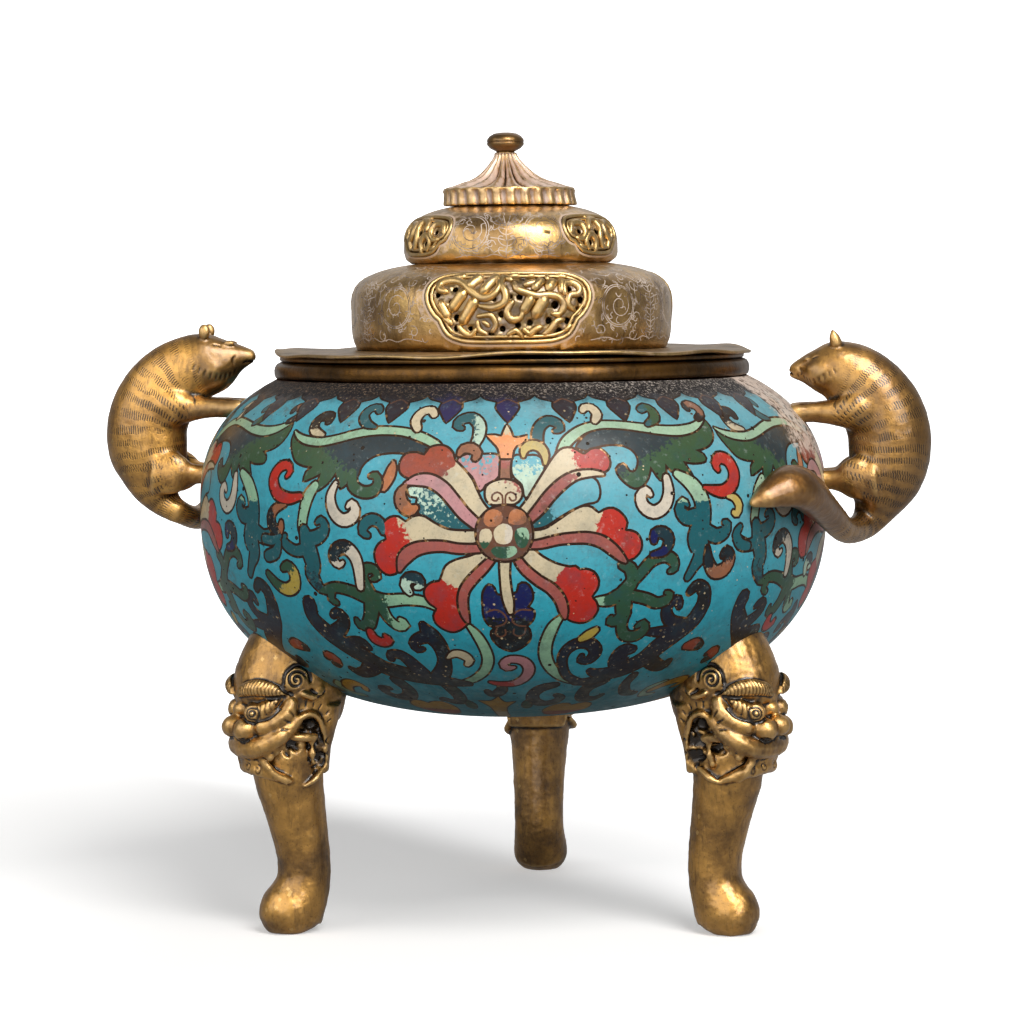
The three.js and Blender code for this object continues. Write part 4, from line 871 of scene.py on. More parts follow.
# Worked metal: raised parts rubbed bright, hollows darkened by dirt and painted shade, and pale residue in engraved
# lines
def giltFinish(name, **own):
    s = {**giltLook, **own}
    # a thin coat makes the gleams whiter than the metal
    f = Finish(name, Metallic=1.0, Coat_Weight=s["coat"], Coat_Roughness=0.26, Coat_IOR=1.8)
    relief = f.noise(900) + f.noise(150, 4) * 1.5
    drawn = f.add("Mapping", ["Vector"], {"Vector": f.place, "Scale": (1, 1, 0.2)})  # rubbed up and down
    edges = f.add("NewGeometry", ["Pointiness"])
    colour = f.mix(f.patches(0.35, 0.7, 70, 5, 0.65) * s["share"], s["bright"], s["deep"])
    colour = f.mix(f.patches(0.5, 0.74, 420, 5, 0.7, drawn), colour, f.mix(0.6, colour, "umber"))
    colour = f.mix(f.patches(0.48, 0.72, 150, 4, 0.6, drawn), colour, f.mix(0.45, colour, "tarnish"))
    colour = f.mix(f.patches(0.6, 0.72, 1500, 3, 0.6) * 0.6, colour, "umber")
    # creases and hollows darkened, partly dirt and partly painted shade
    colour = f.mix(edges.between(0.5, 0.43) * 0.85, colour, "umber")
    colour = f.mix(edges.between(0.505, 0.56) * s["rub"], colour, "rubbedGold")
    gloss = f.swing(0.22, 130, 4, 0.6) + s["roughness"]
    metal = 1.0

    # Lays something dull over the metal
    def cover(share, shade, rough, dull):
        nonlocal colour, gloss, metal
        colour = f.mix(share, colour, shade)
        gloss = f.most(gloss, share * rough)
        metal = metal - share * dull

    if s["residue"]:
        left = (f.read("residue") + f.swing(1.6, 330, 4, 0.65)).between(0.3, 0.75) * 0.85
        left = f.most(f.patches(0.5, 0.66, 210, 5, 0.7) * s["residue"] * 0.6, left)
        cover(left, f.mix(f.noise(260), "residue", "paleResidue"), 0.7, 0.8)
    if s["engraved"]:
        line, rim, dust = f.add("SeparateColor", ["Red", "Green", "Blue"], {"Color": f.read("paint", "Color")})
        cover((dust + f.swing(1.5, 300, 4, 0.65)).between(0.45, 0.8) * 0.7, "dust", 0.8, 0.85)
        filled = line * (f.patches(0.34, 0.56, 160, 4, 0.6) * 0.85)
        cover(line, f.mix(filled, "emptyLine", "filledLine"), 0.7, 0.85)
        colour = f.mix(rim * 0.9, colour, "umber")
    if s["fur"]:
        run, around, furry = f.add("SeparateXYZ", "XYZ", {"Vector": f.read("fur", "Vector")})
        rows = f.maths("PINGPONG", run / 4 + f.noise(75) * 1.5, 0.5)
        hairs = f.maths("PINGPONG", around / 0.86 + run / 7 + f.noise(140) * 1.8, 0.5)
        dashes = (rows + f.noise(500, 2) * 0.2).between(0.28, 0.36) * hairs.between(0.25, 0.38)
        dashes = dashes * furry * f.patches(0.36, 0.52, 120, 4)
        # the right handle is browner, partly from wear and partly as painted shade, and the left one's head is browner
        # as painted shade
        head = f.x.between(0, -0.05) * f.z.between(0.154, 0.164) * (1.0 - furry)
        colour = f.mix(f.most(f.x.between(0, 0.05) * 0.46, head * 0.78), colour, "brownGiltAndShade")
        stain = f.patches(0.46, 0.66, 95, 5, 0.7) * (rows * 1.3)
        # the outer backs of the handles darkened, partly stain and partly painted shade
        back = f.maths("ABSOLUTE", f.x).between(0.116, 0.131) * 0.45
        colour = f.mix(f.most(stain, back) * furry, colour, "furStainAndShade")
        colour = f.mix(f.read("patina") * 0.9, colour, f.mix(f.noise(240, 4, 0.6), "tailBrown", "tailGold"))
        colour = f.mix(dashes * 0.9, colour, "hairShadow")
        relief = relief - dashes * 1.2
    # chased lines and hollows darkened towards black, partly dirt and partly painted shade
    hollow = f.read("hollow")
    groove = f.most(f.read("chased").between(0.06, 0.4), (hollow + f.swing(0.12, 260, 4)).between(0.04, 0.26))
    colour = f.mix(hollow.between(-0.05, -0.3) * 0.5, colour, f.mix(0.5, s["bright"], "crestGold"))
    colour = f.mix(groove * 0.96, colour, "groove")
    f.bump(relief, 0.00014, 0.7)
    return f.finish(Base_Color=colour, Roughness=f.most(gloss, groove * 0.6), Metallic=metal)


castGilt = giltFinish("castGilt", bright=(200, 150, 72), deep=(100, 69, 29), share=0.9, roughness=0.42)
furGilt = giltFinish("chasedFurGilt", bright=(220, 166, 80), deep=(130, 89, 40), roughness=0.46, fur=True)
rubbedGilt = giltFinish("engravedGilt", bright=(216, 174, 104), deep=(128, 94, 48), residue=0.1, roughness=0.34,
                        engraved=True)
dustyGilt = giltFinish("dustyGilt", bright=(218, 180, 126), deep=(146, 112, 72), share=0.55, residue=0.45,
                       roughness=0.42)
panelGilt = giltFinish("piercedGilt", bright=(184, 148, 88), deep=(92, 70, 38), residue=0.4, roughness=0.38)
plateGilt = giltFinish("wornPlateGilt", bright=(164, 134, 90), deep=(88, 68, 44), residue=0.5, roughness=0.38,
                       coat=0.2, rub=0.2)
knobGilt = giltFinish("brownedGilt", bright=(116, 80, 36), deep=(52, 34, 14), residue=0.05, coat=0.3, rub=0.12)
# the lip ring and bezel strip: dark from tarnish, and darkened further as a painted shadow of the flange above them
tarnishedAndShadowedRimGilt = giltFinish("darkRimGiltAndPaintedShadow", bright=(104, 70, 26), deep=(24, 15, 8), share=1, residue=0.05, coat=0.1, rub=0.04)


# A closed (radius, height) profile spun about the Z axis
def spun(profile, steps=192):
    bm = bmesh.new()
    corners = [bm.verts.new((r * mm, 0, z * mm)) for r, z in profile]
    for a, b in zip(corners, corners[1:] + corners[:1]):
        bm.edges.new((a, b))
    bmesh.ops.spin(bm, geom=bm.verts[:] + bm.edges[:], cent=(0, 0, 0), axis=(0, 0, 1), dvec=(0, 0, 0),
                   angle=2 * math.pi, steps=steps, use_merge=True)
    bmesh.ops.remove_doubles(bm, verts=bm.verts, dist=1e-6)
    bmesh.ops.recalc_face_normals(bm, faces=bm.faces)
    return bm


# Round-ended rods of changing thickness along (place, radius) lines, as one mesh
def rods(lines, sides=2):
    curve = bpy.data.curves.new("rods", "CURVE")
    curve.dimensions, curve.bevel_depth, curve.bevel_resolution, curve.use_fill_caps = "3D", 1.0, sides, True
    for line in lines:
        (start, startRadius), (end, endRadius) = line[0], line[-1]
        before = start + (start - line[1][0]).normalized() * startRadius * 0.7
        after = end + (end - line[-2][0]).normalized() * endRadius * 0.7
        line = [(before, startRadius * 0.45)] + list(line) + [(after, endRadius * 0.45)]
        spline = curve.splines.new("POLY")
        spline.points.add(len(line) - 1)
        for point, (place, radius) in zip(spline.points, line):
            point.co = (*place, 1)
            point.radius = radius
    holder = bpy.data.objects.new("rods", curve)
    mesh = bpy.data.meshes.new_from_object(holder)
    bpy.data.objects.remove(holder)
    bpy.data.curves.remove(curve)
    return mesh


# Strokes of (across, up, width) laid on a surface as raised rounded bars, sunk by a share of their thickness
def barsOn(surface, strokes, sink, step, base):
    lines = []
    for points in strokes:
        sized = [(p, max(p.z, 0.2) / 2) for p in curveThrough(points, step=step)]
        lines.append([(surface.at(p.x, p.y, base - half * sink), half * mm) for p, half in sized])
    return rods(lines)


# Gives an open paved mesh its wall, on the inside
def walled(mesh, wall):
    bm = bmesh.new()
    bm.from_mesh(mesh)
    bmesh.ops.remove_doubles(bm, verts=bm.verts, dist=2e-6)
    bmesh.ops.delete(bm, geom=[v for v in bm.verts if not v.link_faces], context="VERTS")
    bmesh.ops.recalc_face_normals(bm, faces=bm.faces)
    if sum(face.normal.dot(Vector((*face.calc_center_median().xy, 0))) for face in bm.faces) < 0:
        bmesh.ops.reverse_faces(bm, faces=bm.faces[:])
    bmesh.ops.solidify(bm, geom=bm.faces[:], thickness=wall * mm)
    return bm


def discPoints(u, v, radius, count, stretch=1.0):
    turns = [2 * math.pi * i / count for i in range(count)]
    return [(u + radius * stretch * math.cos(turn), v + radius * math.sin(turn)) for turn in turns]


lowerDome = {"radius": 51.1, "foot": 181.26, "belly": 11.6, "drop": 22, "rise": 16.3, "power": 3.4, "wall": 1.6,
             "opening": 30.2, "panelAt": (3.5, 110, -104.4), "engravedAt": 63, "dusty": 7}
upperDome = {"radius": 34.1, "foot": 208.3, "belly": 4, "drop": 6.8, "rise": 14.9, "power": 3, "wall": 1.5,
             "opening": 4.4, "panelAt": (35.5, -32, 109.2), "engravedAt": 3, "dusty": 13}
belowBelly = 60  # steps of a dome's meridian below its widest line

lowerFrame = [(3.5, -9.2), (12, -9.2), (18.4, -8.7), (22.8, -6.8), (25, -3.4), (25.4, -2.4), (25.4, -2.4), (28.2, 0.2),
              (30.2, 4.6), (29.8, 9.4), (27, 12.9), (22.6, 14.8), (14, 15.3), (3.5, 15.4), (-7, 15.3), (-15.6, 14.8),
              (-20, 12.9), (-22.8, 9.4), (-23.2, 4.6), (-21.2, 0.2), (-18.4, -2.4), (-18.4, -2.4), (-18, -3.4),
              (-15.8, -6.8), (-11.4, -8.7), (-5, -9.2)]
upperFrame = [(0, -1.6), (5, -1.4), (9, -0.2), (10.4, 2), (10.4, 2), (13, 3), (14.6, 6), (14.2, 9.4), (11.6, 11.6),
              (6, 12.6), (0, 12.8), (-6, 12.6), (-11.6, 11.6), (-14.2, 9.4), (-14.6, 6), (-13, 3), (-10.4, 2),
              (-10.4, 2), (-9, -0.2), (-5, -1.4)]
lowerHoles = [(-19.3, 6, 1), (-18.5, 3.6, 0.6), (-14.5, 3.3, 1.1), (-13.6, 7.9, 1), (-12.8, -1.4, 1.1), (-13, -4.7, 1),
              (-10.6, 10.9, 0.8), (-8.4, -4.7, 0.8), (-2.2, -7.2, 1.1), (-0.8, 4.4, 0.8), (1.4, -0.4, 1),
              (1.8, -4.9, 1), (2.7, 9, 0.6), (4.4, 5.2, 0.7), (7.2, 5, 1), (6.6, -3.7, 1), (10.3, -3, 1),
              (12.6, -7.6, 1.1), (14.8, 12.6, 1.2), (18.3, 2.4, 1.3), (16.2, -2.5, 1.1), (18.9, 12.8, 0.9),
              (19.6, -5.8, 1.1), (22.2, -2.6, 1), (23.2, 7.7, 1.2), (26.8, 3.9, 1.1), (25.8, 0.7, 0.7), (24, 11, 0.7),
              (-4.2, 11, 0.7), (-16.6, 12.8, 0.7), (8.6, 12.4, 0.8)]
lowerRelief = [
    [(-16.4, 7, 1.2), (-18.7, 7.6, 1.6), (-19.3, 9.8, 1.7), (-17, 11.5, 1.7), (-13.2, 11.3, 1.6), (-10.4, 9.4, 1.7),
     (-7.6, 6.6, 1.8), (-4.8, 4.8, 1.8), (-1.6, 5.4, 1.6), (0.6, 8.2, 1.4), (0.4, 11, 1)],
    [(-14, 1.6, 2.4), (-10.8, 6.4, 2.6)], [(-10.7, -2.4, 2.4), (-7, 3.6, 2.6)], [(-18, 3, 1.8), (-15.8, -0.8, 2.2)],
    [(-9, 8.8, 2), (-6.2, 13, 2.8)], [(-4.3, 7, 2), (-0.4, 13.2, 2.6)], [(-14.8, 12.8, 1.6), (-11.6, 14, 1.6)],
    [(-5.2, 2.2, 1), (-1.4, 1.6, 1.6), (2.4, 3.2, 1.8), (2.8, 6.4, 1.8), (1.4, 9.6, 1.4), (2, 13, 1.6),
     (4.6, 11.6, 1.2)],
    [(-5.8, -1, 1), (-1.8, -0.7, 1.3), (-0.2, -3.6, 1.3), (-1.4, -5.6, 1)],
    [(-6, -2.6, 0.9), (-5.4, -5.2, 1.3), (-3.2, -6.4, 1)], [(-4.2, -2.6, 0.9), (-2.6, -3.8, 1.1)],
    [(-12, -4, 1), (-10.4, -6, 1.4), (-8, -6.8, 1.3), (-6.6, -5, 1)], [(-16.6, -1.6, 1.2), (-14.6, -3, 1.4)],
    [(5, 3.4, 1.1), (3.2, 0.6, 1.7), (4.4, -2, 1.9), (7.4, -1.4, 1.4), (8, 0.2, 1)],
    [(5.6, 9.8, 1.2), (6.3, 7.7, 1.6), (9.2, 6.4, 1.7), (12.4, 5.3, 1.7), (16.2, 5.6, 1.6), (19.6, 4.8, 1.7),
     (21.1, 2.2, 1.7), (19.6, -0.4, 1.4), (17.4, -0.4, 1)],
    [(8.4, 0.6, 2.2), (10.6, 4.4, 2.4)], [(12.2, -0.4, 2.8), (14.8, 4, 3)], [(9.2, 9.4, 1.4), (12.4, 10.4, 1.6)],
    [(12, 8.2, 2), (14.4, 11, 2.2)], [(16.6, 8, 2.2), (18.2, 10.6, 2.4)], [(20.6, 7, 1.6), (21.4, 10.8, 1.8)],
    [(21.6, 6, 1.2), (21.8, 9.2, 1.5), (24.6, 10.2, 1.7), (26.9, 8, 1.7), (26, 5.8, 1.5), (23.2, 5.4, 1.5),
     (22.4, 2.6, 1.5), (24.2, 0.8, 1.2)],
    [(28, 8, 0.9), (28.4, 4.6, 1), (27.4, 1.8, 0.8)], [(8.4, -5, 1), (10.2, -6.6, 1.5), (12, -5, 1.5),
                                                       (13.8, -4.4, 1.3)],
    [(3.4, -6.8, 1), (5.8, -5.4, 1.4), (8, -7.4, 1)], [(14.6, -6.6, 1), (16.8, -5, 1.5), (18.6, -2.6, 1.5),
                                                       (20.6, -2.2, 1.2)],
    [(21.6, -5.4, 1), (23.2, -4, 1.1)], [(4.4, 13.6, 1.1), (7, 14, 1.2)], [(10.6, 13.6, 1.1), (12.6, 14, 1.2)],
    [(16.8, 13.8, 1), (16.8, 12, 1.2)], [(21, 13.6, 1.2), (23.6, 13, 1.2)],
]
upperHoles = [(-8, 6, 1), (-4, 9.4, 0.8), (-3.4, 2, 1), (0.6, 6, 1.1), (4, 9.8, 0.8), (4.6, 2.4, 1), (8.4, 6.6, 1),
              (-11, 8.6, 0.7), (11.2, 8.4, 0.7), (0, 0.4, 0.6)]
upperRelief = [
    [(-12, 5.4, 1), (-10.4, 8.8, 1.5), (-6.6, 9, 1.5), (-5.6, 5.8, 1.4), (-7.6, 3.4, 1.3), (-10, 3.6, 1)],
    [(-4.8, 0, 1), (-6, 3, 1.2), (-3.4, 5, 1.5), (-1.2, 2.6, 1.4), (-1.8, -0.4, 1)],
    [(-3.4, 7, 1.2), (-1.4, 10.4, 1.6), (2, 10.6, 1.5), (3, 7.8, 1.4), (1.6, 4, 1.3), (2.6, 0.6, 1.1)],
    [(6, 0.6, 1), (7.4, 3, 1.5), (5.8, 5.8, 1.5), (6.6, 9, 1.5), (10, 9.6, 1.3), (11.8, 6.6, 1.2), (10.4, 4.2, 1)],
    [(-8.6, 1.2, 1), (-6.6, 0.2, 1)], [(-1.6, 12, 1), (1.8, 12.2, 1)],
]


def domeSurface(s):
    middle = s["foot"] + s["belly"]
    low = squaredOval(s["radius"], middle, s["drop"], s["power"], -math.asin(s["belly"] / s["drop"]), 0, belowBelly)
    high = squaredOval(s["radius"], middle, s["rise"], s["power"], 0, math.pi / 2 * 0.995, 260)
    return Turned(low + high[1:], belowBelly, s["radius"])


def middleOf(frameShape):
    return (min(x for x, _ in frameShape) + max(x for x, _ in frameShape)) / 2


def frameAt(frameShape, centre):
    return curveThrough([(x - middleOf(frameShape) + centre, y) for x, y in frameShape], closed=True)


# Engraved lines between the panels: a stem with curls, ringed roundels, and small leaf strokes over the rest
def engraveDome(d, at, e):
    def line(points, width=0.26):
        d.stroke("white", [(at + x, y, width) for x, y in points], 2, wired=False)

    def curl(x, y, size, turn, start=0.0, steps=9):
        line([(x + size * (1 - t / (steps + 2)) * math.cos(start + turn * t * 0.75),
               y + size * (1 - t / (steps + 2)) * math.sin(start + turn * t * 0.75)) for t in range(steps)])

    line([(0.2 * math.sin(y), y) for y in np.linspace(e["low"], e["high"], 12)])
    for way in (-1, 1):
        for k, y in enumerate(np.linspace(e["low"] + 1.5, e["high"] - 3, e["pairs"])):
            line([(way * x, y + up) for x, up in ((0.2, -1), (1.6, -0.4), (2.6, 1), (2.2, 2.2), (1.2, 2))])
            line([(way * x, y + up) for x, up in ((0.4, 0.8), (2.4, 1.4), (4, 0.6 + k % 2), (5, 1.8))])
        for x, tall in ((1.2, 3.4), (2.6, 2.6), (3.9, 1.4)):
            line([(way * 0.3, e["high"] - 1), (way * x * 0.7, e["high"] + tall * 0.4), (way * x, e["high"] + tall)])
        for x, y, radius, inner in e["rounds"]:
            line([(way * x + px, py) for px, py in discPoints(0, y, radius, 18)] + [(way * x + radius, y)])
            if inner:
                curl(way * x + 0.3, y, radius * 0.62, way, 0.6, 12)
            for k in range(9):
                turn = k * 0.7
                line([(way * x + (radius + out) * math.cos(turn + lean), y + (radius + out) * math.sin(turn + lean))
                      for out, lean in ((0.5, 0), (1.2, 0.1), (1.5, 0.24))])
        for x, y, size, turn in e["curls"]:
            curl(way * x, y, size, turn * way, 1 + way)
        for points in e["stems"]:
            line([(way * x, y) for x, y in points])
    for _ in range(e["leaves"]):
        x, y = luck.uniform(-e["reach"], e["reach"]), luck.uniform(e["low"], e["top"])
        lean, size = luck.uniform(0, 2 * math.pi), luck.uniform(0.7, 1.3)
        line([(x + size * px * math.cos(lean) - size * py * math.sin(lean),
               y + size * px * math.sin(lean) + size * py * math.cos(lean))
              for px, py in ((-0.9, -0.3), (-0.3, 0.35), (0.4, 0.3), (0.9, -0.4))], 0.24)


lowerLines = {"low": -9, "high": 10, "top": 24, "pairs": 5, "reach": 31, "leaves": 170,
              "rounds": ((15.5, 2, 6, False), (15.5, 2, 6.6, True)),
              "curls": ((7.6, 8.6, 2.6, 1), (8, -2, 2.2, -1), (9.4, -7, 2, 1), (11, 11.6, 2.4, -1),
                        (21.4, 10.4, 2.4, 1), (23, -5.6, 2, -1), (18, 17, 2.6, 1), (6, 17.6, 2.6, -1)),
              "stems": (((0.4, 11), (3.8, 9.4), (6.6, 11), (9.4, 14), (13, 14.4), (17, 12.6), (22, 14)),
                        ((0.2, -8.6), (4, -7.6), (7.6, -8.8), (12, -8), (16, -8.8), (20, -7.8), (26, -8.6)),
                        ((2, 20), (8, 22), (14, 20.6), (20, 22.4), (28, 21)), ((5, 6), (6.4, 2), (8, 5), (7, 9)))}
upperLines = {"low": -3, "high": 8.6, "top": 14, "pairs": 3, "reach": 21, "leaves": 70,
              "rounds": ((12, 6, 5.6, False), (12, 6, 6.4, True)),
              "curls": ((4.6, 10.6, 1.8, 1), (5, 1.6, 1.6, -1), (7.6, 13, 1.6, -1)),
              "stems": (((0.4, 9), (3, 8), (5, 9.6), (6, 12), (9, 14)), ((0.4, -2.6), (4, -1.4), (7.6, -2.4),
                                                                         (12, -1.6), (17, -2.4)))}


# A dome's shell with its engraving and the openings for its panels
def makeShell(name, node, s, frameShape, engrave, gaps):
    face = domeSurface(s)
    d = Drawing(0)
    for centre in gaps:
        engraveDome(d, centre, engrave)
    girth = 2 * math.pi * s["radius"]
    for centre in s["panelAt"]:
        for amount, paint, level in ((3.4, "dust", 1), (1.2, "rim", 3), (0.5, "black", 4), (0.15, "hole", 5)):
            d.add(grown(frameAt(frameShape, centre), amount), paint, level)
    high = float(np.interp(-s["opening"], -face.rz[belowBelly:, 0], face.up[belowBelly:]))
    region = (-girth / 2, girth / 2, float(face.up[0]), high)
    layers = reaching(d.layers([(0, ""), (girth, ""), (-girth, "")]), region)
    spots, triangles, top = pave(layers, region, 2.6)
    kept = [i for i, number in enumerate(top) if number < 0 or layers[number][1]["paint"] != "hole"]
    mesh = engravedMesh(name, face, spots, triangles[kept], top[kept], layers, s["dusty"])
    pieceFrom(walled(mesh, s["wall"]), name, "cover", [node], [rubbedGilt])


# Red holds the engraved lines, green the dark edge of a panel and blue the dust, which also gathers at the
# shell's ends
def engravedMesh(name, surface, spots, triangles, top, layers, dusty):
    mesh = bpy.data.meshes.new(name)
    mesh.from_pydata([surface.at(u, v) for u, v in spots], [], triangles.tolist())
    paint = mesh.color_attributes.new("paint", "FLOAT_COLOR", "CORNER")
    values = []
    low, high = spots[:, 1].min(), spots[:, 1].max()
    for corners, number in zip(triangles, top):
        kind = layers[number][1]["paint"] if number >= 0 else ""
        for corner in corners:
            v = spots[corner][1]
            ends = max(min((v - high + dusty) / 5, 1), min((low + 2.4 - v) / 2.4, 1), 0) * 0.65
            dust = max(0.5 * (kind == "dust"), float(kind == "rim"), ends)
            values.extend([float(kind == "white"), float(kind == "black"), dust, 1])
    paint.data.foreach_set("color", values)
    return mesh


# A pierced panel: a plate with holes, a raised double frame and the relief between the holes
def makePanel(name, node, s, frameShape, centre, holes, relief, flip):
    face = domeSurface(s)
    border = frameAt(frameShape, centre)
    own, plate = middleOf(frameShape), 0.9

    def moved(x):
        return centre + (x - own) * (-1 if flip else 1)

    layers = [([Vector(p) for p in discPoints(moved(x), y, radius * 1.08, 12, 0.92)], {"paint": "hole"}, 0)
              for x, y, radius in holes]
    xs, ys = [p.x for p in border], [p.y for p in border]
    spots, triangles, top = pave(layers, (min(xs), max(xs), min(ys), max(ys)), 2, border)
    mesh = bpy.data.meshes.new(name)
    mesh.from_pydata([face.at(u, v, -plate) for u, v in spots], [], triangles[top < 0].tolist())
    bm = walled(mesh, plate)
    groove, dust = bm.verts.layers.float.new("chased"), bm.verts.layers.float.new("residue")
    for vert in bm.verts:
        vert[groove], vert[dust] = 0.24, 0.4
    strokes = [[(moved(x), y, w * 1.55) for x, y, w in points] for points in relief]
    bm.from_mesh(barsOn(face, strokes, sink=0.55, step=0.9, base=-0.05))
    for inset, width, lift in ((0.3, 1.4, -0.05), (1.9, 1, -0.3)):
        rim = grown(border, -inset)
        rim = rim + rim[:2]
        bm.from_mesh(rods([[(face.at(p.x, p.y, lift - 0.2), width / 2 * mm) for p in rim[::2] + [rim[-1]]]]))
    pieceFrom(bm, name, "cover", [node], [panelGilt])


def makeDomes():
    third = 2 * math.pi / 3
    for word, s, frameShape, engrave, holes, relief, mirrored in (
            ("lower", lowerDome, lowerFrame, lowerLines, lowerHoles, lowerRelief, 0),
            ("upper", upperDome, upperFrame, upperLines, upperHoles, upperRelief, 2)):
        gaps = [s["radius"] * (third * k + math.radians(s["engravedAt"])) for k in (-1, 0, 1)]
        makeShell(word + "DomeShell", word + "_dome", s, frameShape, engrave, gaps)
        for number, centre in enumerate(s["panelAt"], 1):
            makePanel(f"{word}Panel{number}", f"{word}_panel_{number}", s, frameShape, centre, holes, relief,
                      number == mirrored)
    print("cover: domes and panels")


canopy = {"ribs": 28, "ridges": 18, "lean": -1.4}


# The canopy over the domes: a ribbed fringe and a fluted roof that runs up to a narrow neck
def makeCanopy():
    low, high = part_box("canopy")
    base, top = low.z / mm, high.z / mm
    profile = [(2, top), (3.4, top)] + [(r, base + z) for r, z in (
        (3.6, 15.8), (4.1, 14.6), (4.9, 13.4), (5.8, 12.1), (6.9, 10.8), (8.2, 9.6), (9.8, 8.5), (12.2, 7.4), (15, 6.6),
        (18, 5.9), (20.2, 5.5), (20.9, 5.3), (20.9, 4.9), (20, 4.6), (19.7, 3.6), (19.7, 1.6), (19.9, 0.5), (19.7, 0),
        (18.4, 0), (18.2, 4.2), (12, 5.6), (2, 9))]
    bm = spun(profile, canopy["ribs"] * 14)
    dust = bm.verts.layers.float.new("residue")
    groove = bm.verts.layers.float.new("chased")
    for vert in bm.verts:
        radius = vert.co.xy.length / mm
        angle = math.atan2(vert.co.y, vert.co.x)
        height = vert.co.z / mm - base
        if height < 4.75 and radius > 19.2:
            across = angle * canopy["ribs"] / (2 * math.pi) % 1 * 2 - 1
            ridge = max(0, 1 - (across * 1.35) ** 2) ** 0.5
            vert.co.xy *= (radius + 1.45 * ridge * (1 if height < 3 else 0.8)) / radius
            vert[dust] = 0.75 - 0.75 * ridge
            vert[groove] = 0.2 * (ridge < 0.1)
        elif height > 5.35 and radius > 3.3:
            swell = math.cos(angle * canopy["ridges"])
            sharp = max(0, -swell) ** 3
            depth = min(1, (radius - 2.6) / 4) * (1 if radius < 15 else max(0.25, (21 - radius) / 6))
            vert.co.z += (0.55 * swell - 0.4 * sharp) * depth * mm
            vert.co.xy *= (radius + 0.5 * depth * (swell - 0.6 * sharp)) / radius
            vert[dust] = 0.76 - 0.7 * sharp - 0.5 * max(0, swell) ** 3
            vert[groove] = 0.3 * sharp
    return bm, base, top


# The real canopy and knob lean a little to the left
def lean(bm, base, top):
    for vert in bm.verts:
        vert.co.x += canopy["lean"] * min(max((vert.co.z / mm - base) / (top - base), 0), 1) * mm


def makeTop():
    bm, base, top = makeCanopy()
    lean(bm, base, top)
    pieceFrom(bm, "canopyRoof", "cover", ["canopy"], [dustyGilt])
    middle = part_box("finial")[1].z / mm - 3.15
    knob = spun([(r, middle + z) for r, z in (
        (0.01, -3.1), (2.6, -3.1), (3.4, -2.7), (4.9, -1.9), (5.8, -0.9), (5.95, -0.25), (5.75, 0), (5.95, 0.3),
        (5.8, 1), (5, 2), (3.6, 2.8), (1.8, 3.1), (0.01, 3.13))], 96)
    neck = spun([(0.01, top - 3), (2.7, top - 3), (2.7, top - 0.4), (3.1, top + 0.1), (2.7, top + 0.6),
                 (2.6, middle - 2.9), (0.01, middle - 2.9)], 64)
    knob.from_mesh(toMesh(neck, "neck"))
    lean(knob, base, top)
    pieceFrom(knob, "finialKnob", "cover", ["finial"], [knobGilt])
    print("cover: canopy and finial")


# The flange, a thin plate that has warped a little, and the rings under it
def makeRings():
    low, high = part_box("cover_flange")
    z, edge = low.z / mm, high.x / mm
    bm = spun([(44.2, z), (60, z), (72, z), (edge - 0.9, z), (edge - 0.25, z + 0.3), (edge - 0.2, z + 0.9),
               (edge - 0.8, z + 1.2), (72, z + 1.2), (60, z + 1.2), (52.6, z + 1.2), (52, z + 1.3),
               (44.2, z + 1.3)], 256)
    for vert in bm.verts:
        angle = math.atan2(vert.co.x, -vert.co.y)
        share = min(max((vert.co.xy.length / mm - 56) / 20, 0), 1) ** 1.5
        wave = 0.55 * math.sin(3 * angle + 0.6) + 0.35 * math.sin(7 * angle) + 0.25 * math.sin(13 * angle + 1)
        vert.co.z += share * mm * wave
        vert.co.xy *= 1 - 0.006 * share * (1 + math.sin(5 * angle + 2))
    pieceFrom(bm, "coverFlangePlate", "cover", ["cover_flange"], [plateGilt])
    low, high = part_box("cover_bezel")
    z, seat = low.z / mm, high.z / mm - 1.6
    bm = spun([(69.5, z), (70.6, z), (70.8, z + 0.3), (70.8, seat), (73.6, seat), (74, seat + 0.4), (74, seat + 1.2),
               (73.6, seat + 1.6), (69.5, seat + 1.6)])
    pieceFrom(bm, "coverBezelStrip", "cover", ["cover_bezel"], [tarnishedAndShadowedRimGilt])
    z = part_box("lip_ring")[1].z / mm - 5.4
    bm = spun([(r, z + up) for r, up in (
        (72.3, 0.3), (75, 0.3), (75.5, 0.7), (75.8, 1.7), (75.84, 2.9), (75.6, 4), (75, 4.9), (74, 5.35), (73, 5.4),
        (71.7, 5.3), (71.2, 4.9), (71.1, 4.4), (71.1, -2.5), (68.6, -2.5), (68.6, -4.2), (72.3, -4.2))], 256)
    for vert in bm.verts:
        if vert.co.xy.length > 74.5 * mm:
            angle = math.atan2(vert.co.x, -vert.co.y)
            vert.co.xy *= 1 - 0.0012 * (1 + math.sin(9 * angle) * math.sin(4 * angle + 1) + 0.6 * math.sin(23 * angle))
            vert.co.z += 0.12 * mm * math.sin(7 * angle + 2)
    pieceFrom(bm, "lipRingCast", "vessel", ["lip_ring"], [tarnishedAndShadowedRimGilt])
    print("cover: flange, bezel and lip ring")


makeDomes()
makeTop()
makeRings()


# Castings are built in millimetres in a frame of their own, joined by a fine remesh, then chased
def spindle(bm, place, sizes):
    matrix = Matrix.Translation(place) @ Matrix.Diagonal((*sizes, 1))
    bmesh.ops.create_icosphere(bm, subdivisions=3, radius=1, matrix=matrix)


def addRods(bm, lines):
    mesh = rods([[(Vector(p[:3]), p[3]) for p in curveThrough(line, step=0.8)] for line in lines], 3)
    bm.from_mesh(mesh)
    bpy.data.meshes.remove(mesh)


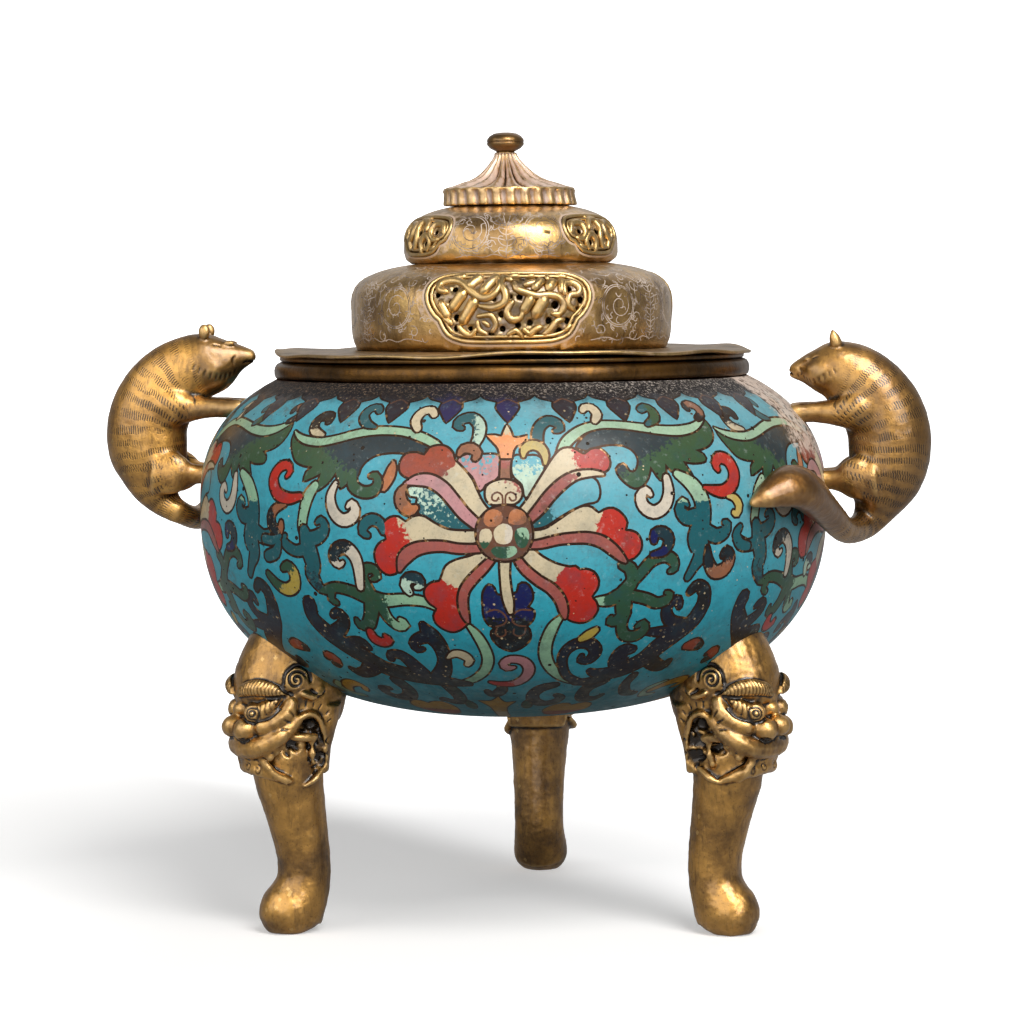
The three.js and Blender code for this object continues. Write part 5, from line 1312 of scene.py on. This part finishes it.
# A closed loft through rings placed along a line: (x, y, z, half size in the line's plane, half size across)
def lofted(bm, stations, sides=36):
    line = curveThrough(stations, step=1.6)
    spots = [Vector(p[:3]) for p in line]
    side = Vector((0, 1, 0))
    rows, frames = [], []
    for i, p in enumerate(line):
        way = (spots[min(i + 1, len(spots) - 1)] - spots[max(i - 1, 0)]).normalized()
        side = (side - way * side.dot(way)).normalized()
        flat = side.cross(way)
        frames.append((spots[i], flat, side.copy(), way, p[3], p[4]))
        matrix = Matrix((flat * max(p[3], 0.05), side * max(p[4], 0.05), way)).transposed().to_4x4()
        matrix = Matrix.Translation(spots[i]) @ matrix
        made = bmesh.ops.create_circle(bm, cap_ends=False, radius=1, segments=sides, matrix=matrix)
        rows.append(list({e for v in made["verts"] for e in v.link_edges}))
    for low, high in zip(rows, rows[1:]):
        bmesh.ops.bridge_loops(bm, edges=low + high)
    for row in (rows[0], rows[-1]):
        bmesh.ops.edgeloop_fill(bm, edges=row)
    return frames


def softened(bm, rounds):
    for _ in range(rounds):
        bmesh.ops.smooth_vert(bm, verts=bm.verts, factor=0.5, use_axis_x=True, use_axis_y=True, use_axis_z=True)
    return bm


# Joins closed forms to one skin, cuts it off at the cutter and smooths it
def castFrom(bm, voxel, rounds, cutter=None):
    bmesh.ops.recalc_face_normals(bm, faces=bm.faces)
    mesh = toMesh(bm, "forms")
    holder = placed("forms", mesh)
    remesh = holder.modifiers.new("remesh", "REMESH")
    remesh.mode, remesh.voxel_size, remesh.adaptivity = "VOXEL", voxel, 0
    if cutter:
        trim = holder.modifiers.new("trim", "BOOLEAN")
        trim.operation, trim.object, trim.solver = "DIFFERENCE", cutter, "EXACT"
    made = bmesh.new()
    made.from_object(holder, bpy.context.evaluated_depsgraph_get())
    bpy.data.objects.remove(holder)
    bpy.data.meshes.remove(mesh)
    if cutter:
        bpy.data.objects.remove(cutter)
    return softened(made, rounds)


# Presses lines into a surface: each is (points, half width, depth). How deep is kept for the dirt and painted shade in
# them
def chase(bm, lines):
    layer = bm.verts.layers.float.new("chased")
    bm.normal_update()
    verts = list(bm.verts)
    tree = BVHTree.FromBMesh(bm)
    finder = KDTree(len(verts))
    for i, vert in enumerate(verts):
        finder.insert(vert.co, i)
    finder.balance()
    depths = [0.0] * len(verts)
    for points, reach, depth in lines:
        line = curveThrough(points, step=max(reach * 0.4, 0.2)) if len(points) > 1 else [Vector(points[0])]
        for i, p in enumerate(line):
            taper = min(1, 0.35 + min(i, len(line) - 1 - i) * 0.35) if len(line) > 2 else 1
            spot = tree.find_nearest(p)[0]
            for _, index, away in finder.find_range(spot, reach):
                amount = depth * taper * (1 - (away / reach) ** 2) ** 1.5
                depths[index] = max(depths[index], amount) if depth > 0 else min(depths[index], amount)
    moves = [vert.normal * depths[i] for i, vert in enumerate(verts)]
    for i, vert in enumerate(verts):
        vert.co -= moves[i]
        vert[layer] = max(depths[i], 0)


# The uneven skin of a casting finished by hand
def roughen(bm, amount):
    bm.normal_update()
    unevenness = [noise.noise(vert.co / 3.4) + 0.45 * noise.noise(vert.co / 1.3) for vert in bm.verts]
    for vert, share in zip(bm.verts, unevenness):
        vert.co += vert.normal * share * amount


# Deepens a hollow round places that lie no further across than a limit, and paints shade into it
def soot(bm, places, reach, limit, press):
    layer = bm.verts.layers.float["chased"]
    bm.normal_update()
    moves = []
    for vert in bm.verts:
        if vert.co.x > 12 or vert.co.z > 72 or vert.co.z < 46:
            continue
        away = min((vert.co - place).length for place in places) / reach + 0.5 * noise.noise(vert.co / 1.8)
        share = min(max((1 - away) * 1.7, 0), 1) * min(max((limit - abs(vert.co.y)) / 0.7, 0), 1)
        if share > 0:
            vert[layer] = max(vert[layer], 0.5 * share)
            moves.append((vert, vert.normal * share * press))
    for vert, move in moves:
        vert.co -= move


# How far each point lies below the smoothed surface, for the dirt and painted shade in the hollows
def markHollows(bm, rounds):
    soft = softened(bm.copy(), rounds)
    bm.normal_update()
    layer = bm.verts.layers.float.new("hollow")
    for vert, smoothed in zip(bm.verts, soft.verts):
        vert[layer] = (smoothed.co - vert.co).dot(vert.normal)
    soft.free()


def bowlRadiusAt(z):
    s = bowlShape
    reach, power = (s["upper"], s["upperPower"]) if z > s["middle"] else (s["lower"], s["lowerPower"])
    return bowlSpread * (1 - abs((z - s["middle"]) / reach) ** power) ** (1 / power)


# The bowl's own solid, a little smaller, to cut castings off inside its wall
def bowlCutter(shift=0):
    s = bowlShape
    inset = 1.2
    line = squaredOval(s["radius"] - inset, s["middle"], s["lower"] - inset, s["lowerPower"], -math.pi / 2, 0, 80)
    line += squaredOval(s["radius"] - inset, s["middle"], s["upper"] - inset, s["upperPower"], 0, 0.92, 60)[1:]
    bm = spun([(0.001, line[0][1])] + line[1:] + [(0.001, line[-1][1])], 160)
    for vert in bm.verts:
        vert.co = vert.co / mm - Vector((shift, 0, 0))
    return placed("bowlCutter", toMesh(bm, "bowlCutter"))


legForm = {"foot": 78.5, "voxel": 0.42, "turns": {"back": 89, "front_left": 210, "front_right": 332}}
# The leg is drawn with its outer side towards +X. Rings are (out, up, half size outwards, half size across)
shankRings = [(0.5, 0, 5, 5), (0.5, 0.4, 6.4, 6.2), (0.5, 1.6, 7.9, 7.5), (0.3, 3.2, 9.2, 8.5), (0, 5, 10, 9),
              (-0.8, 6.8, 10.2, 9.2), (-2, 9, 9.9, 9), (-3.6, 12.2, 9, 8.6), (-4.8, 16.4, 8.4, 8.4),
              (-5, 22, 8.3, 8.4), (-4.3, 28, 8.6, 8.6), (-3, 35, 9.2, 9), (-1.6, 42, 10, 9.6),
              (-0.5, 47.5, 10.8, 10.2), (0, 54, 11.2, 10.6), (0, 68, 11.2, 10.8)]
headRings = [(-0.5, 66.5, 14, 11.5), (-0.3, 68.5, 16, 13), (-0.9, 71, 16.8, 13.5), (-1.6, 74, 17.6, 13.8),
             (-1.2, 77, 18, 14.4), (-1.4, 80.5, 17.4, 14.6), (-2.4, 84, 16.8, 14.2), (-4, 88, 15.8, 13.4),
             (-6, 92, 14, 12), (-8, 97, 10, 9)]
collarRings = [(-7.5, 50.4, 5.2, 9.2), (-7.4, 55, 5.5, 10.4), (-7.2, 61, 6.4, 12.2), (-8.4, 67, 7, 12.8),
               (-8.4, 72, 9, 13)]
# Balls are (out, across, up, three half sizes) and rods lines of (out, across, up, radius), both for one side
maskBalls = [(6, 0, 81, 10.6, 11.4, 9.4), (12.6, 0, 62.2, 5, 8, 3.6), (17.3, 0, 66, 4.2, 3.6, 3.5),
             (15.4, 5, 65, 4.4, 3.9, 3.9), (15, 0, 71.2, 2.8, 3, 2.3), (13.6, 7.4, 70.4, 3.3, 3.3, 3.3),
             (8.5, 10.4, 66.5, 6.2, 3.6, 4), (3, 12, 80.8, 3.6, 2.2, 3.6), (10.4, 11.8, 57.2, 1.3, 1.6, 1.5),
             (8.6, 12.4, 58.9, 1.3, 1.6, 1.5), (6.8, 12.8, 60.4, 1.2, 1.5, 1.4)]
maskRods = [
    [(1.6, 13.2, 68.6, 2), (4.4, 13.2, 66, 2.5), (8.4, 12.8, 62.9, 3), (12, 10.2, 60.4, 3.3), (14, 5.4, 59.3, 3.5),
     (14.5, 0, 59.2, 3.6)],
    [(12.4, 8.6, 66, 3), (8.8, 11.2, 67.4, 3.4), (5, 12.4, 70.4, 3.2), (3.4, 12.9, 74.4, 2.2)],
    [(16.8, 2.4, 75.4, 1.2), (15.8, 6, 77.6, 2.5), (12.6, 9.5, 78.4, 3.1), (8.6, 12.2, 77.6, 2.4),
     (5.4, 13.7, 76.6, 0.9)],
    [(12.2, 9.6, 71, 2.7), (10.2, 11.4, 72.8, 2.1), (7.4, 12.9, 75.2, 0.9)],
    [(2.6, 13.9, 67, 0.8), (0.8, 14.2, 69, 1), (-2, 14.3, 70, 1), (-5.2, 13.4, 68.4, 1), (-7, 12.4, 64.4, 1),
     (-7.9, 11.3, 60, 1), (-8.6, 9.9, 55, 1), (-9, 8.6, 51, 0.9)],
    [(12.4, 0, 53.2, 2.7), (11.8, 4.6, 52.9, 2.6), (10, 7.8, 51.9, 2.2), (6.8, 9.6, 50.4, 1.6), (3, 10.4, 48.9, 0.9)],
    [(14.2, 0, 55.2, 1.2), (13.2, 4.4, 55.2, 1.2), (11.4, 7.6, 54.8, 1.1)],
    [(0.4, 14.6, 76.4, 1), (-3.4, 14.4, 75.2, 1.2), (-6.2, 13.4, 77.4, 1.1), (-6, 12.8, 80, 0.9)],
    [(-1.6, 13.6, 84.4, 1), (-4.6, 13.2, 83, 1.3), (-6.6, 12.4, 80.6, 1)],
]
leftTeeth = [[(-4.4, 12.4, 62.6, 1.4), (0, 13.2, 62.7, 1.5), (4.8, 12.9, 62.9, 0.45)],
             [(-3.2, 12, 60.8, 1.3), (-3.6, 11.8, 58.9, 0.95), (-3.7, 11.8, 57.6, 1.35), (-4, 11.6, 55.6, 0.95),
              (-4.2, 11.4, 54.4, 1.2)],
             [(-8.4, 9.2, 52.4, 0.9), (-5, 10.8, 49.2, 1.15), (-1.2, 10.9, 46.9, 0.3)],
             [(11.8, 8.6, 56.4, 1.2), (9.4, 9.8, 52.6, 1.4), (4.6, 10.9, 48.1, 0.3)]]
rightTeeth = [[(-1.6, -12.4, 62.2, 1.4), (3.6, -13.2, 62.7, 1.5), (8.8, -13, 61.9, 0.45)],
              [(0.6, -12.2, 60.6, 1.3), (0.3, -11.9, 58.6, 0.95), (0.2, -11.8, 57.4, 1.35),
               (0.6, -11.4, 55.4, 0.95), (0.9, -11.2, 54, 1.2)],
              [(-4.4, -11, 52.8, 0.9), (0.2, -11.9, 50, 1.15), (3.8, -10.9, 48.2, 0.3)],
              [(12.9, -7.6, 56.8, 1.2), (11.3, -8.6, 52.2, 1.4), (8.4, -9.4, 48.6, 0.3)]]
mouthShadeSpots = [(-3.4, 11.6, 66), (0.4, 12.6, 67), (-5.4, 10.4, 61), (-6, 9.6, 56.4), (5.6, 11.4, 65), (3.4, 11.8, 60.4),
             (8.6, 10.4, 60.6)]


# Lines chased into the mask, on one side of it
def maskLines(way):
    def side(points):
        return [(x, y * way, z) for x, y, z in points]

    lines = [
        (side([(17.8, 1.6, 74), (16.4, 6, 74.4), (13.4, 10.4, 75), (9, 13.2, 75.4), (6, 14, 75.2)]), 1, 0.8),
        (side([(17, 3, 78.4), (15.2, 7, 80.6), (12, 10.4, 81.2), (8.6, 12.8, 80), (6, 13.8, 78.4)]), 0.8, 0.6),
        (side([(6.8, 13.8, 75), (9.2, 13.4, 70.4), (11.4, 12, 68.6), (13.6, 10, 67.6), (15.6, 8, 67.8),
               (16.4, 5, 68.6)]), 0.8, 0.6),
        (side([(18.6, 0, 62.2), (17.4, 3.6, 61.8), (14.6, 6.8, 62.4)]), 0.8, 0.6),
        (side([(16.6, 6.6, 63.4), (17.4, 5.4, 63)]), 1.1, 0.8),
        (side([(14.4, 3, 57), (11.4, 8.6, 57.4), (8.8, 10.6, 59)]), 0.9, 0.6),
    ]
    coil, edge = [], []
    for i in range(24):
        angle, reach = math.radians(160 - i * 27), 3.5 - i * 0.14
        coil.append((2.4 + reach * math.cos(angle), 15.4, 80.8 + reach * math.sin(angle)))
    for i in range(13):
        angle = math.radians(190 - i * 22)
        edge.append((2.4 + 4.9 * math.cos(angle), 14.4, 80.8 + 4.7 * math.sin(angle)))
    lines += [(side(coil), 0.62, 0.75), (side(edge), 0.9, 0.9)]
    lines.append((side([(-2.6, 14.6, 77.6), (-5, 14, 75.4), (-7.6, 13, 76.6)]), 0.8, 0.7))
    brow = curveThrough(maskRods[2], step=0.95)
    for i in range(1, len(brow) - 2):
        low, high = brow[i], brow[min(i + 1, len(brow) - 1)]
        out = Vector((low.x + 2, low.y, 0)).normalized() * low[3]
        points = [(low.x + out.x * 0.5, low.y + out.y * 0.5, low.z - low[3]), (low.x + out.x, low.y + out.y, low.z),
                  (high.x + out.x * 0.6, high.y + out.y * 0.6, high.z + high[3])]
        lines.append((side(points), 0.34, 0.3))
    for k in range(4):
        t = k / 3.4
        spot = Vector((12.6, 10.6, 71)).lerp(Vector((8.2, 13.4, 75)), t)
        lines.append((side([(spot.x, spot.y, spot.z + 2.4 - 1.2 * t), (spot.x + 1, spot.y + 1.4, spot.z),
                            (spot.x, spot.y, spot.z - 2.2 + 1.2 * t)]), 0.4, 0.3))
    for k in range(9):
        angle = math.radians(8 + k * 19)
        ray = [(-1.8 + reach * math.cos(angle), 15, 64.4 + reach * math.sin(angle)) for reach in (7.2, 8.4, 9.6)]
        lines.append((side(ray), 0.45, 0.4))
    facing = Vector((math.cos(math.radians(52)), math.sin(math.radians(52)), 0.05)).normalized()
    across = facing.cross(Vector((0, 0, 1))).normalized()
    up = across.cross(facing)
    for radius in (2.35, 1.05):
        ring = [Vector((13.6, 7.4, 70.4)) + facing * 3.2 + across * radius * math.cos(a) + up * radius * math.sin(a)
                for a in (2 * math.pi * i / 14 for i in range(15))]
        lines.append((side(ring), 0.6, 0.45))
    for centre in ((14.4, 3, 53.4), (12.6, 7, 52.8)):
        swirl = [(centre[0] - 0.5 * r, centre[1] + r * math.cos(a), centre[2] + r * math.sin(a))
                 for r, a in ((0.2 + 0.13 * i, i * 0.8) for i in range(11))]
        lines.append((side(swirl), 0.4, 0.35))
    return lines


def makeLegs():
    bm = bmesh.new()
    for rings in (shankRings, headRings, collarRings):
        lofted(bm, [(out, 0, z, along, across) for out, z, along, across in rings])
    for x, y, z, *sizes in maskBalls:
        for way in ((1, -1) if y else (1,)):
            spindle(bm, (x, y * way, z), sizes)
    for way in (1, -1):
        addRods(bm, [[(x, y * way, z, r) for x, y, z, r in line] for line in maskRods])
        spindle(bm, (2.4, 12.6 * way, 80.8), (4.5, 2.7, 4.4))
    addRods(bm, leftTeeth + rightTeeth)
    bm = castFrom(bm, legForm["voxel"], 5, bowlCutter(legForm["foot"]))
    chase(bm, maskLines(1) + maskLines(-1))
    roughen(bm, 0.16)
    # the dark of the mouth is painted shade
    soot(bm, [Vector((x, y * way, z)) for x, y, z in mouthShadeSpots for way in (1, -1)], 4, 12.9, 1.5)
    markHollows(bm, 24)
    for name, turn in legForm["turns"].items():
        copy = bm.copy()
        stand = Matrix.Translation((legForm["foot"] * mm, 0, 0)) @ Matrix.Scale(mm, 4)
        copy.transform(Matrix.Rotation(math.radians(turn), 4, "Z") @ stand)
        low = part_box("leg_" + name)[0].z
        for vert in copy.verts:
            vert.co.z = max(vert.co.z, low)
        title = "lionLeg" + "".join(word.capitalize() for word in name.split("_"))
        pieceFrom(copy, title, "vessel", ["leg_" + name], [castGilt])
    print(f"legs: {len(bm.faces)} faces each")
    bm.free()


makeLegs()


# The two climbing animals. Heights are above the bowl's widest line, and lines are (out, up, half size along the
# line's plane, half size across). The tail's are (out from the bowl, degrees round it, up, half sizes)
handleForm = {"voxel": 0.46, "spread": 6, "paw": 3.3, "fore": 29.8, "hind": 9,
              "right": {"turn": 0, "lift": -0.9, "reach": -1.5, "neck": 0, "tuck": 0},
              "left": {"turn": 180, "lift": 1.8, "reach": -1.7, "neck": 2.6, "tuck": 1.6}}
headLine = {"right": [(-10.5, 43, 0.8, 0.9), (-10.1, 43, 1.9, 1.9), (-8.4, 43.2, 2.9, 3), (-5.8, 43.5, 4.3, 4.2),
                      (-1.4, 43.5, 7.1, 6.2), (4.6, 43, 10, 8)],
            "left": [(-12.9, 46.8, 0.9, 0.9), (-12.4, 46.7, 2, 2), (-10.4, 46.5, 3.1, 3), (-7, 46, 5.3, 4.6),
                     (-2, 44.6, 9.2, 6.8), (4.2, 43.2, 10.8, 8.4)]}
bodyLine = {"right": [(11.4, 39.6, 11.6, 9), (17, 33.6, 12.7, 10), (20.7, 26.2, 13.1, 10.6), (21.5, 18.4, 13.1, 10.8),
                      (20.4, 10.8, 12.2, 10.6), (18.2, 3.8, 9.8, 9.2), (16, -2, 6.4, 6.4), (12.6, -6, 4.6, 4.8)],
            "left": [(11.2, 39.6, 11.6, 9), (16.4, 33.6, 12.7, 10), (19.8, 26.2, 13, 10.6), (20.2, 18.4, 13, 10.8),
                     (18.8, 11, 11.6, 10), (17.6, 5, 8.5, 8.2), (14.6, -0.4, 5.2, 5.8), (9.6, -3.8, 3.8, 4.4)]}
tailLine = [(7.4, -9.5, -6.2, 4, 4.2), (6, -20, 1, 4.8, 4.8), (6.8, -31, 9.6, 7.6, 6), (4, -37.4, 7.6, 4.6, 3.4),
            (1.8, -41, 4.8, 1.2, 1)]


def makeHandle(name, sideName):
    f = handleForm
    s = f[sideName]
    middle = bowlShape["middle"] + s["lift"]
    start = 100 + s["reach"]

    def spot(out, rise, sideways=0.0):
        back = s["neck"] * (1 - (out + 11) / 22) if rise > 36 and out < 11 else 0
        return start + out - back, sideways, middle + rise

    def wrapped(out, degrees, rise):
        z = middle + rise
        r, angle = bowlRadiusAt(z) + out, math.radians(degrees)
        return r * math.cos(angle), r * math.sin(angle), z

    bm = bmesh.new()
    trunk = [(*spot(out, rise, -3 if rise < -4 else 0), *sizes)
             for out, rise, *sizes in headLine[sideName] + bodyLine[sideName]]
    trunk += [(*wrapped(out - s["tuck"], degrees, rise), *sizes) for out, degrees, rise, *sizes in tailLine]
    frames = lofted(bm, trunk, 40)
    paw, spread = f["paw"], f["spread"]
    for way in (-1, 1):
        for rise, limb, joint, muscle in (
                (f["fore"], ((16, -1, 6.5, 4.6, 5.6), (7, 0, 4.6, 4, spread), (-2, 0.4, paw, paw, spread)),
                 (11, 1), (7.5, 3.6, 6)),
                (f["hind"], ((17, 0.6, 8, 5.4, 6.4), (9.5, -0.2, 5, 4.4, 6.6), (3, 0, paw, paw, spread)),
                 (12, 0.5), (8, 4, 7.2))):
            z = middle + rise
            line = [(start + out, way * sideways, z + up, along, across) for out, up, along, across, sideways in limb]
            lofted(bm, line + [(bowlRadiusAt(z) - 3, way * spread, z, paw, paw)], 28)
            spindle(bm, (start + joint[0], way * 7.4, z + joint[1]), muscle)
        spindle(bm, spot(1, 42.6, way * 4.4), (6.4, 3.6, 5))
    bm = castFrom(bm, f["voxel"], 20)
    for way in (-1, 1):
        if sideName == "left":
            spindle(bm, spot(1.4, 54.6, way * 4.4), (2, 1.4, 2.5))
            spindle(bm, spot(-5.4, 50.8, way * 2.9), (2, 1, 0.9))
        else:
            ear = spot(4.1, 53.4, way * 4)
            addRods(bm, [[(ear[0] + 0.6, ear[1] * 0.9, ear[2] - 1.6, 2.1), (ear[0], ear[1], ear[2] + 0.4, 1.7),
                          (ear[0] - 0.6, ear[1] * 1.05, ear[2] + 2.3, 0.7)]])
            spindle(bm, spot(-4, 47, way * 3.4), (1.6, 0.9, 0.7))
    bm = castFrom(bm, f["voxel"], 2, bowlCutter())
    lines = []
    up = 2.6 if sideName == "left" else 0
    z = middle + f["fore"]
    wall = bowlRadiusAt(z)
    for way in (-1, 1):
        # the mouth, the brow and the crease of the cheek
        for points, reach, depth in ((((-12, 42.7, 0.2), (-11, 42.5, 1.5), (-9.6, 42, 2.6)), 0.55, 0.55),
                                     (((-3.6, 48.2, 5.6), (-2.6, 48.8, 5.8), (-1.6, 48.6, 6)), 0.4, 0.3),
                                     (((-7.4, 44.2, 4.4), (-6.8, 42.8, 4.6), (-7.2, 41.4, 4.4)), 0.5, 0.3)):
            lines.append(([spot(out, rise + up, way * sideways) for out, rise, sideways in points], reach, depth))
        # short strokes along the jaw
        for k in range(9):
            t = k / 8
            dip = 3.4 * math.sin(t * 2.4)
            lines.append(([spot(3.7 - 12 * t, 44.2 - dip, way * (8.2 - 3.6 * t)),
                           spot(4.4 - 12.6 * t, 42.4 - dip, way * (8 - 3.8 * t))], 0.45, 0.3))
        # the toes
        for toe in (-1.1, 1.1):
            lines.append(([(wall + 0.4, way * spread + toe, z + 3), (wall + 2.6, way * spread + toe, z + 3.2)],
                          0.5, 0.35))
    lines.append(([spot(-10.8, 44.3)], 0.8, 0.3))  # the nose
    chase(bm, lines)
    roughen(bm, 0.1)
    markHollows(bm, 24)
    furOn(bm, frames, middle)
    bm.transform(Matrix.Rotation(math.radians(s["turn"]), 4, "Z") @ Matrix.Scale(mm, 4))
    count = len(bm.faces)
    pieceFrom(bm, name, "vessel", ["handle_" + sideName], [furGilt])
    print(f"{name}: {count} faces")


# Where the chased fur lies: along the body, round it, and how much of it
def furOn(bm, frames, middle):
    layer = bm.verts.layers.float_vector.new("fur")
    patina = bm.verts.layers.float.new("patina")
    finder = KDTree(len(frames))
    run = [0.0]
    for (a, *_), (b, *_) in zip(frames, frames[1:]):
        run.append(run[-1] + (b - a).length)
    for i, entry in enumerate(frames):
        finder.insert(entry[0], i)
    finder.balance()
    for vert in bm.verts:
        index = finder.find(vert.co)[1]
        place, flat, side, way, along, across = frames[index]
        off = vert.co - place
        angle = math.atan2(off.dot(side), off.dot(flat))
        reach = (along + across) / 2
        body = min(max((run[index] - 17) / 4, 0), 1) * min(max((112 - run[index]) / 12, 0), 1)
        near = min(max(1.7 - off.length / max(reach, 1), 0) / 0.3, 1)
        vert[layer] = (run[index] + off.dot(way), angle * reach, body * near)
        vert[patina] = min(max((run[index] - 90) / 22, 0), 1)


makeHandle("climbingAnimalRight", "right")
makeHandle("climbingAnimalLeft", "left")


# CAD nodes that keep their own shape
for nodeName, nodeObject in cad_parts.items():
    nodeObject.data.materials.clear()
    dull = "rove" in nodeName or nodeName in ("ash_liner", "finial_nut")
    nodeObject.data.materials.append(copper if dull else castGilt)


lampAim = 0.12  # all lamps point at the middle of the bowl


# The stage: a white sweep, the world and soft lamps
def makeStage():
    bm = bmesh.new()
    profile = [bm.verts.new((0, y, z)) for y, z in ((-2.5, 0), (0.9, 0), (1.3, 0.1), (1.5, 0.45), (1.55, 2.6))]
    for a, b in zip(profile, profile[1:]):
        bm.edges.new((a, b))
    made = bmesh.ops.extrude_edge_only(bm, edges=bm.edges[:])["geom"]
    bmesh.ops.translate(bm, verts=profile, vec=(-3, 0, 0))
    bmesh.ops.translate(bm, verts=[g for g in made if isinstance(g, bmesh.types.BMVert)], vec=(3, 0, 0))
    bmesh.ops.recalc_face_normals(bm, faces=bm.faces)
    mesh = toMesh(bm, "sweep")
    sweep = placed("sweep", mesh)
    f = Finish("whitePaper", Roughness=0.9, Specular_IOR_Level=0.2)
    camera, through, glossy = f.add("LightPath", ["Is Camera Ray", "Is Transmission Ray", "Is Glossy Ray"])
    seen = f.most(camera, through, glossy * 0.22)  # metal shows it dimly
    away = f.add("VectorMath", ["Value"], {0: f.place}, operation="LENGTH")
    # the glow rises away from the object to white, and two patches, on the right and far left, are painted light that
    # brightens the floor where shadow falls
    lift = (f.x * 0.8 + f.y * 0.6).between(0.03, 0.08) * 0.34 + f.x.between(-0.09, -0.2) * 0.16
    floorGlowAndPaintedLight = seen * (away.between(0.2, 0.8) * 0.6 + 0.36 + lift)
    shade = f.mix(seen, "shadedPaper", "paper")
    mesh.materials.append(f.finish(Base_Color=shade, Emission_Color="light", Emission_Strength=floorGlowAndPaintedLight))
    world = bpy.data.worlds.new("studio")
    bpy.context.scene.world = world
    world.use_nodes = True
    background = world.node_tree.nodes["Background"].inputs
    w = Nodes(world.node_tree)
    camera, glossy = w.add("LightPath", ["Is Camera Ray", "Is Glossy Ray"])
    w.feed(background["Color"], "light")
    w.feed(background["Strength"], w.most(glossy * 0.16 + 0.08, camera))
    # name, turn and rise in degrees, distance and size in metres, watts, tint
    lamps = (("key", 28, 48, 1.5, 0.7, 18, (1, 0.98, 0.95)), ("side", 34, 24, 1.6, 0.8, 10, (1, 0.98, 0.96)),
             ("left", -52, 26, 1.4, 1.1, 6.5, (1, 0.98, 0.95)), ("fill", -14, 16, 1.7, 1.2, 7, (1, 0.98, 0.96)),
             ("back", 170, 48, 1.6, 1.2, 2, (1, 1, 1)))
    for name, turn, rise, away, size, power, tint in lamps:
        lamp = bpy.data.lights.new(name, "AREA")
        lamp.energy, lamp.size, lamp.color = power, size, tint
        turn, rise = math.radians(turn), math.radians(rise)
        offset = Vector((math.sin(turn) * math.cos(rise), -math.cos(turn) * math.cos(rise), math.sin(rise))) * away
        aimed = (-offset).to_track_quat("-Z", "Y").to_matrix().to_4x4()
        placed(name, lamp, Matrix.Translation(offset + Vector((0, 0, lampAim))) @ aimed)


# Turn, pitch and roll in degrees, away and height in millimetres, aside in radians
view = {"turn": 5.1, "away": 1080, "height": 200.6, "pitch": 3.805, "roll": 0.56, "lens": 118.716, "aside": 0.0004}


def makeCamera():
    turn, pitch = math.radians(view["turn"]), math.radians(view["pitch"])
    back = Vector((math.sin(turn), -math.cos(turn), 0))
    right = Vector((math.cos(turn), math.sin(turn), 0))
    ahead = (-back * math.cos(view["aside"]) - right * math.sin(view["aside"])).normalized()
    right = ahead.cross(Vector((0, 0, 1))).normalized()
    up = Vector((0, 0, 1)) * math.cos(pitch) + ahead * math.sin(pitch)
    ahead = ahead * math.cos(pitch) - Vector((0, 0, 1)) * math.sin(pitch)
    facing = Matrix((right, up, -ahead)).transposed().to_4x4()
    camera = bpy.data.cameras.new("camera")
    camera.lens, camera.sensor_width = view["lens"], 36
    place = Matrix.Translation(back * view["away"] * mm + Vector((0, 0, view["height"] * mm)))
    roll = Matrix.Rotation(-math.radians(view["roll"]), 4, "Z")
    bpy.context.scene.camera = placed("camera", camera, place @ facing @ roll)


makeStage()
makeCamera()
bpy.context.scene.view_settings.view_transform = "Standard"
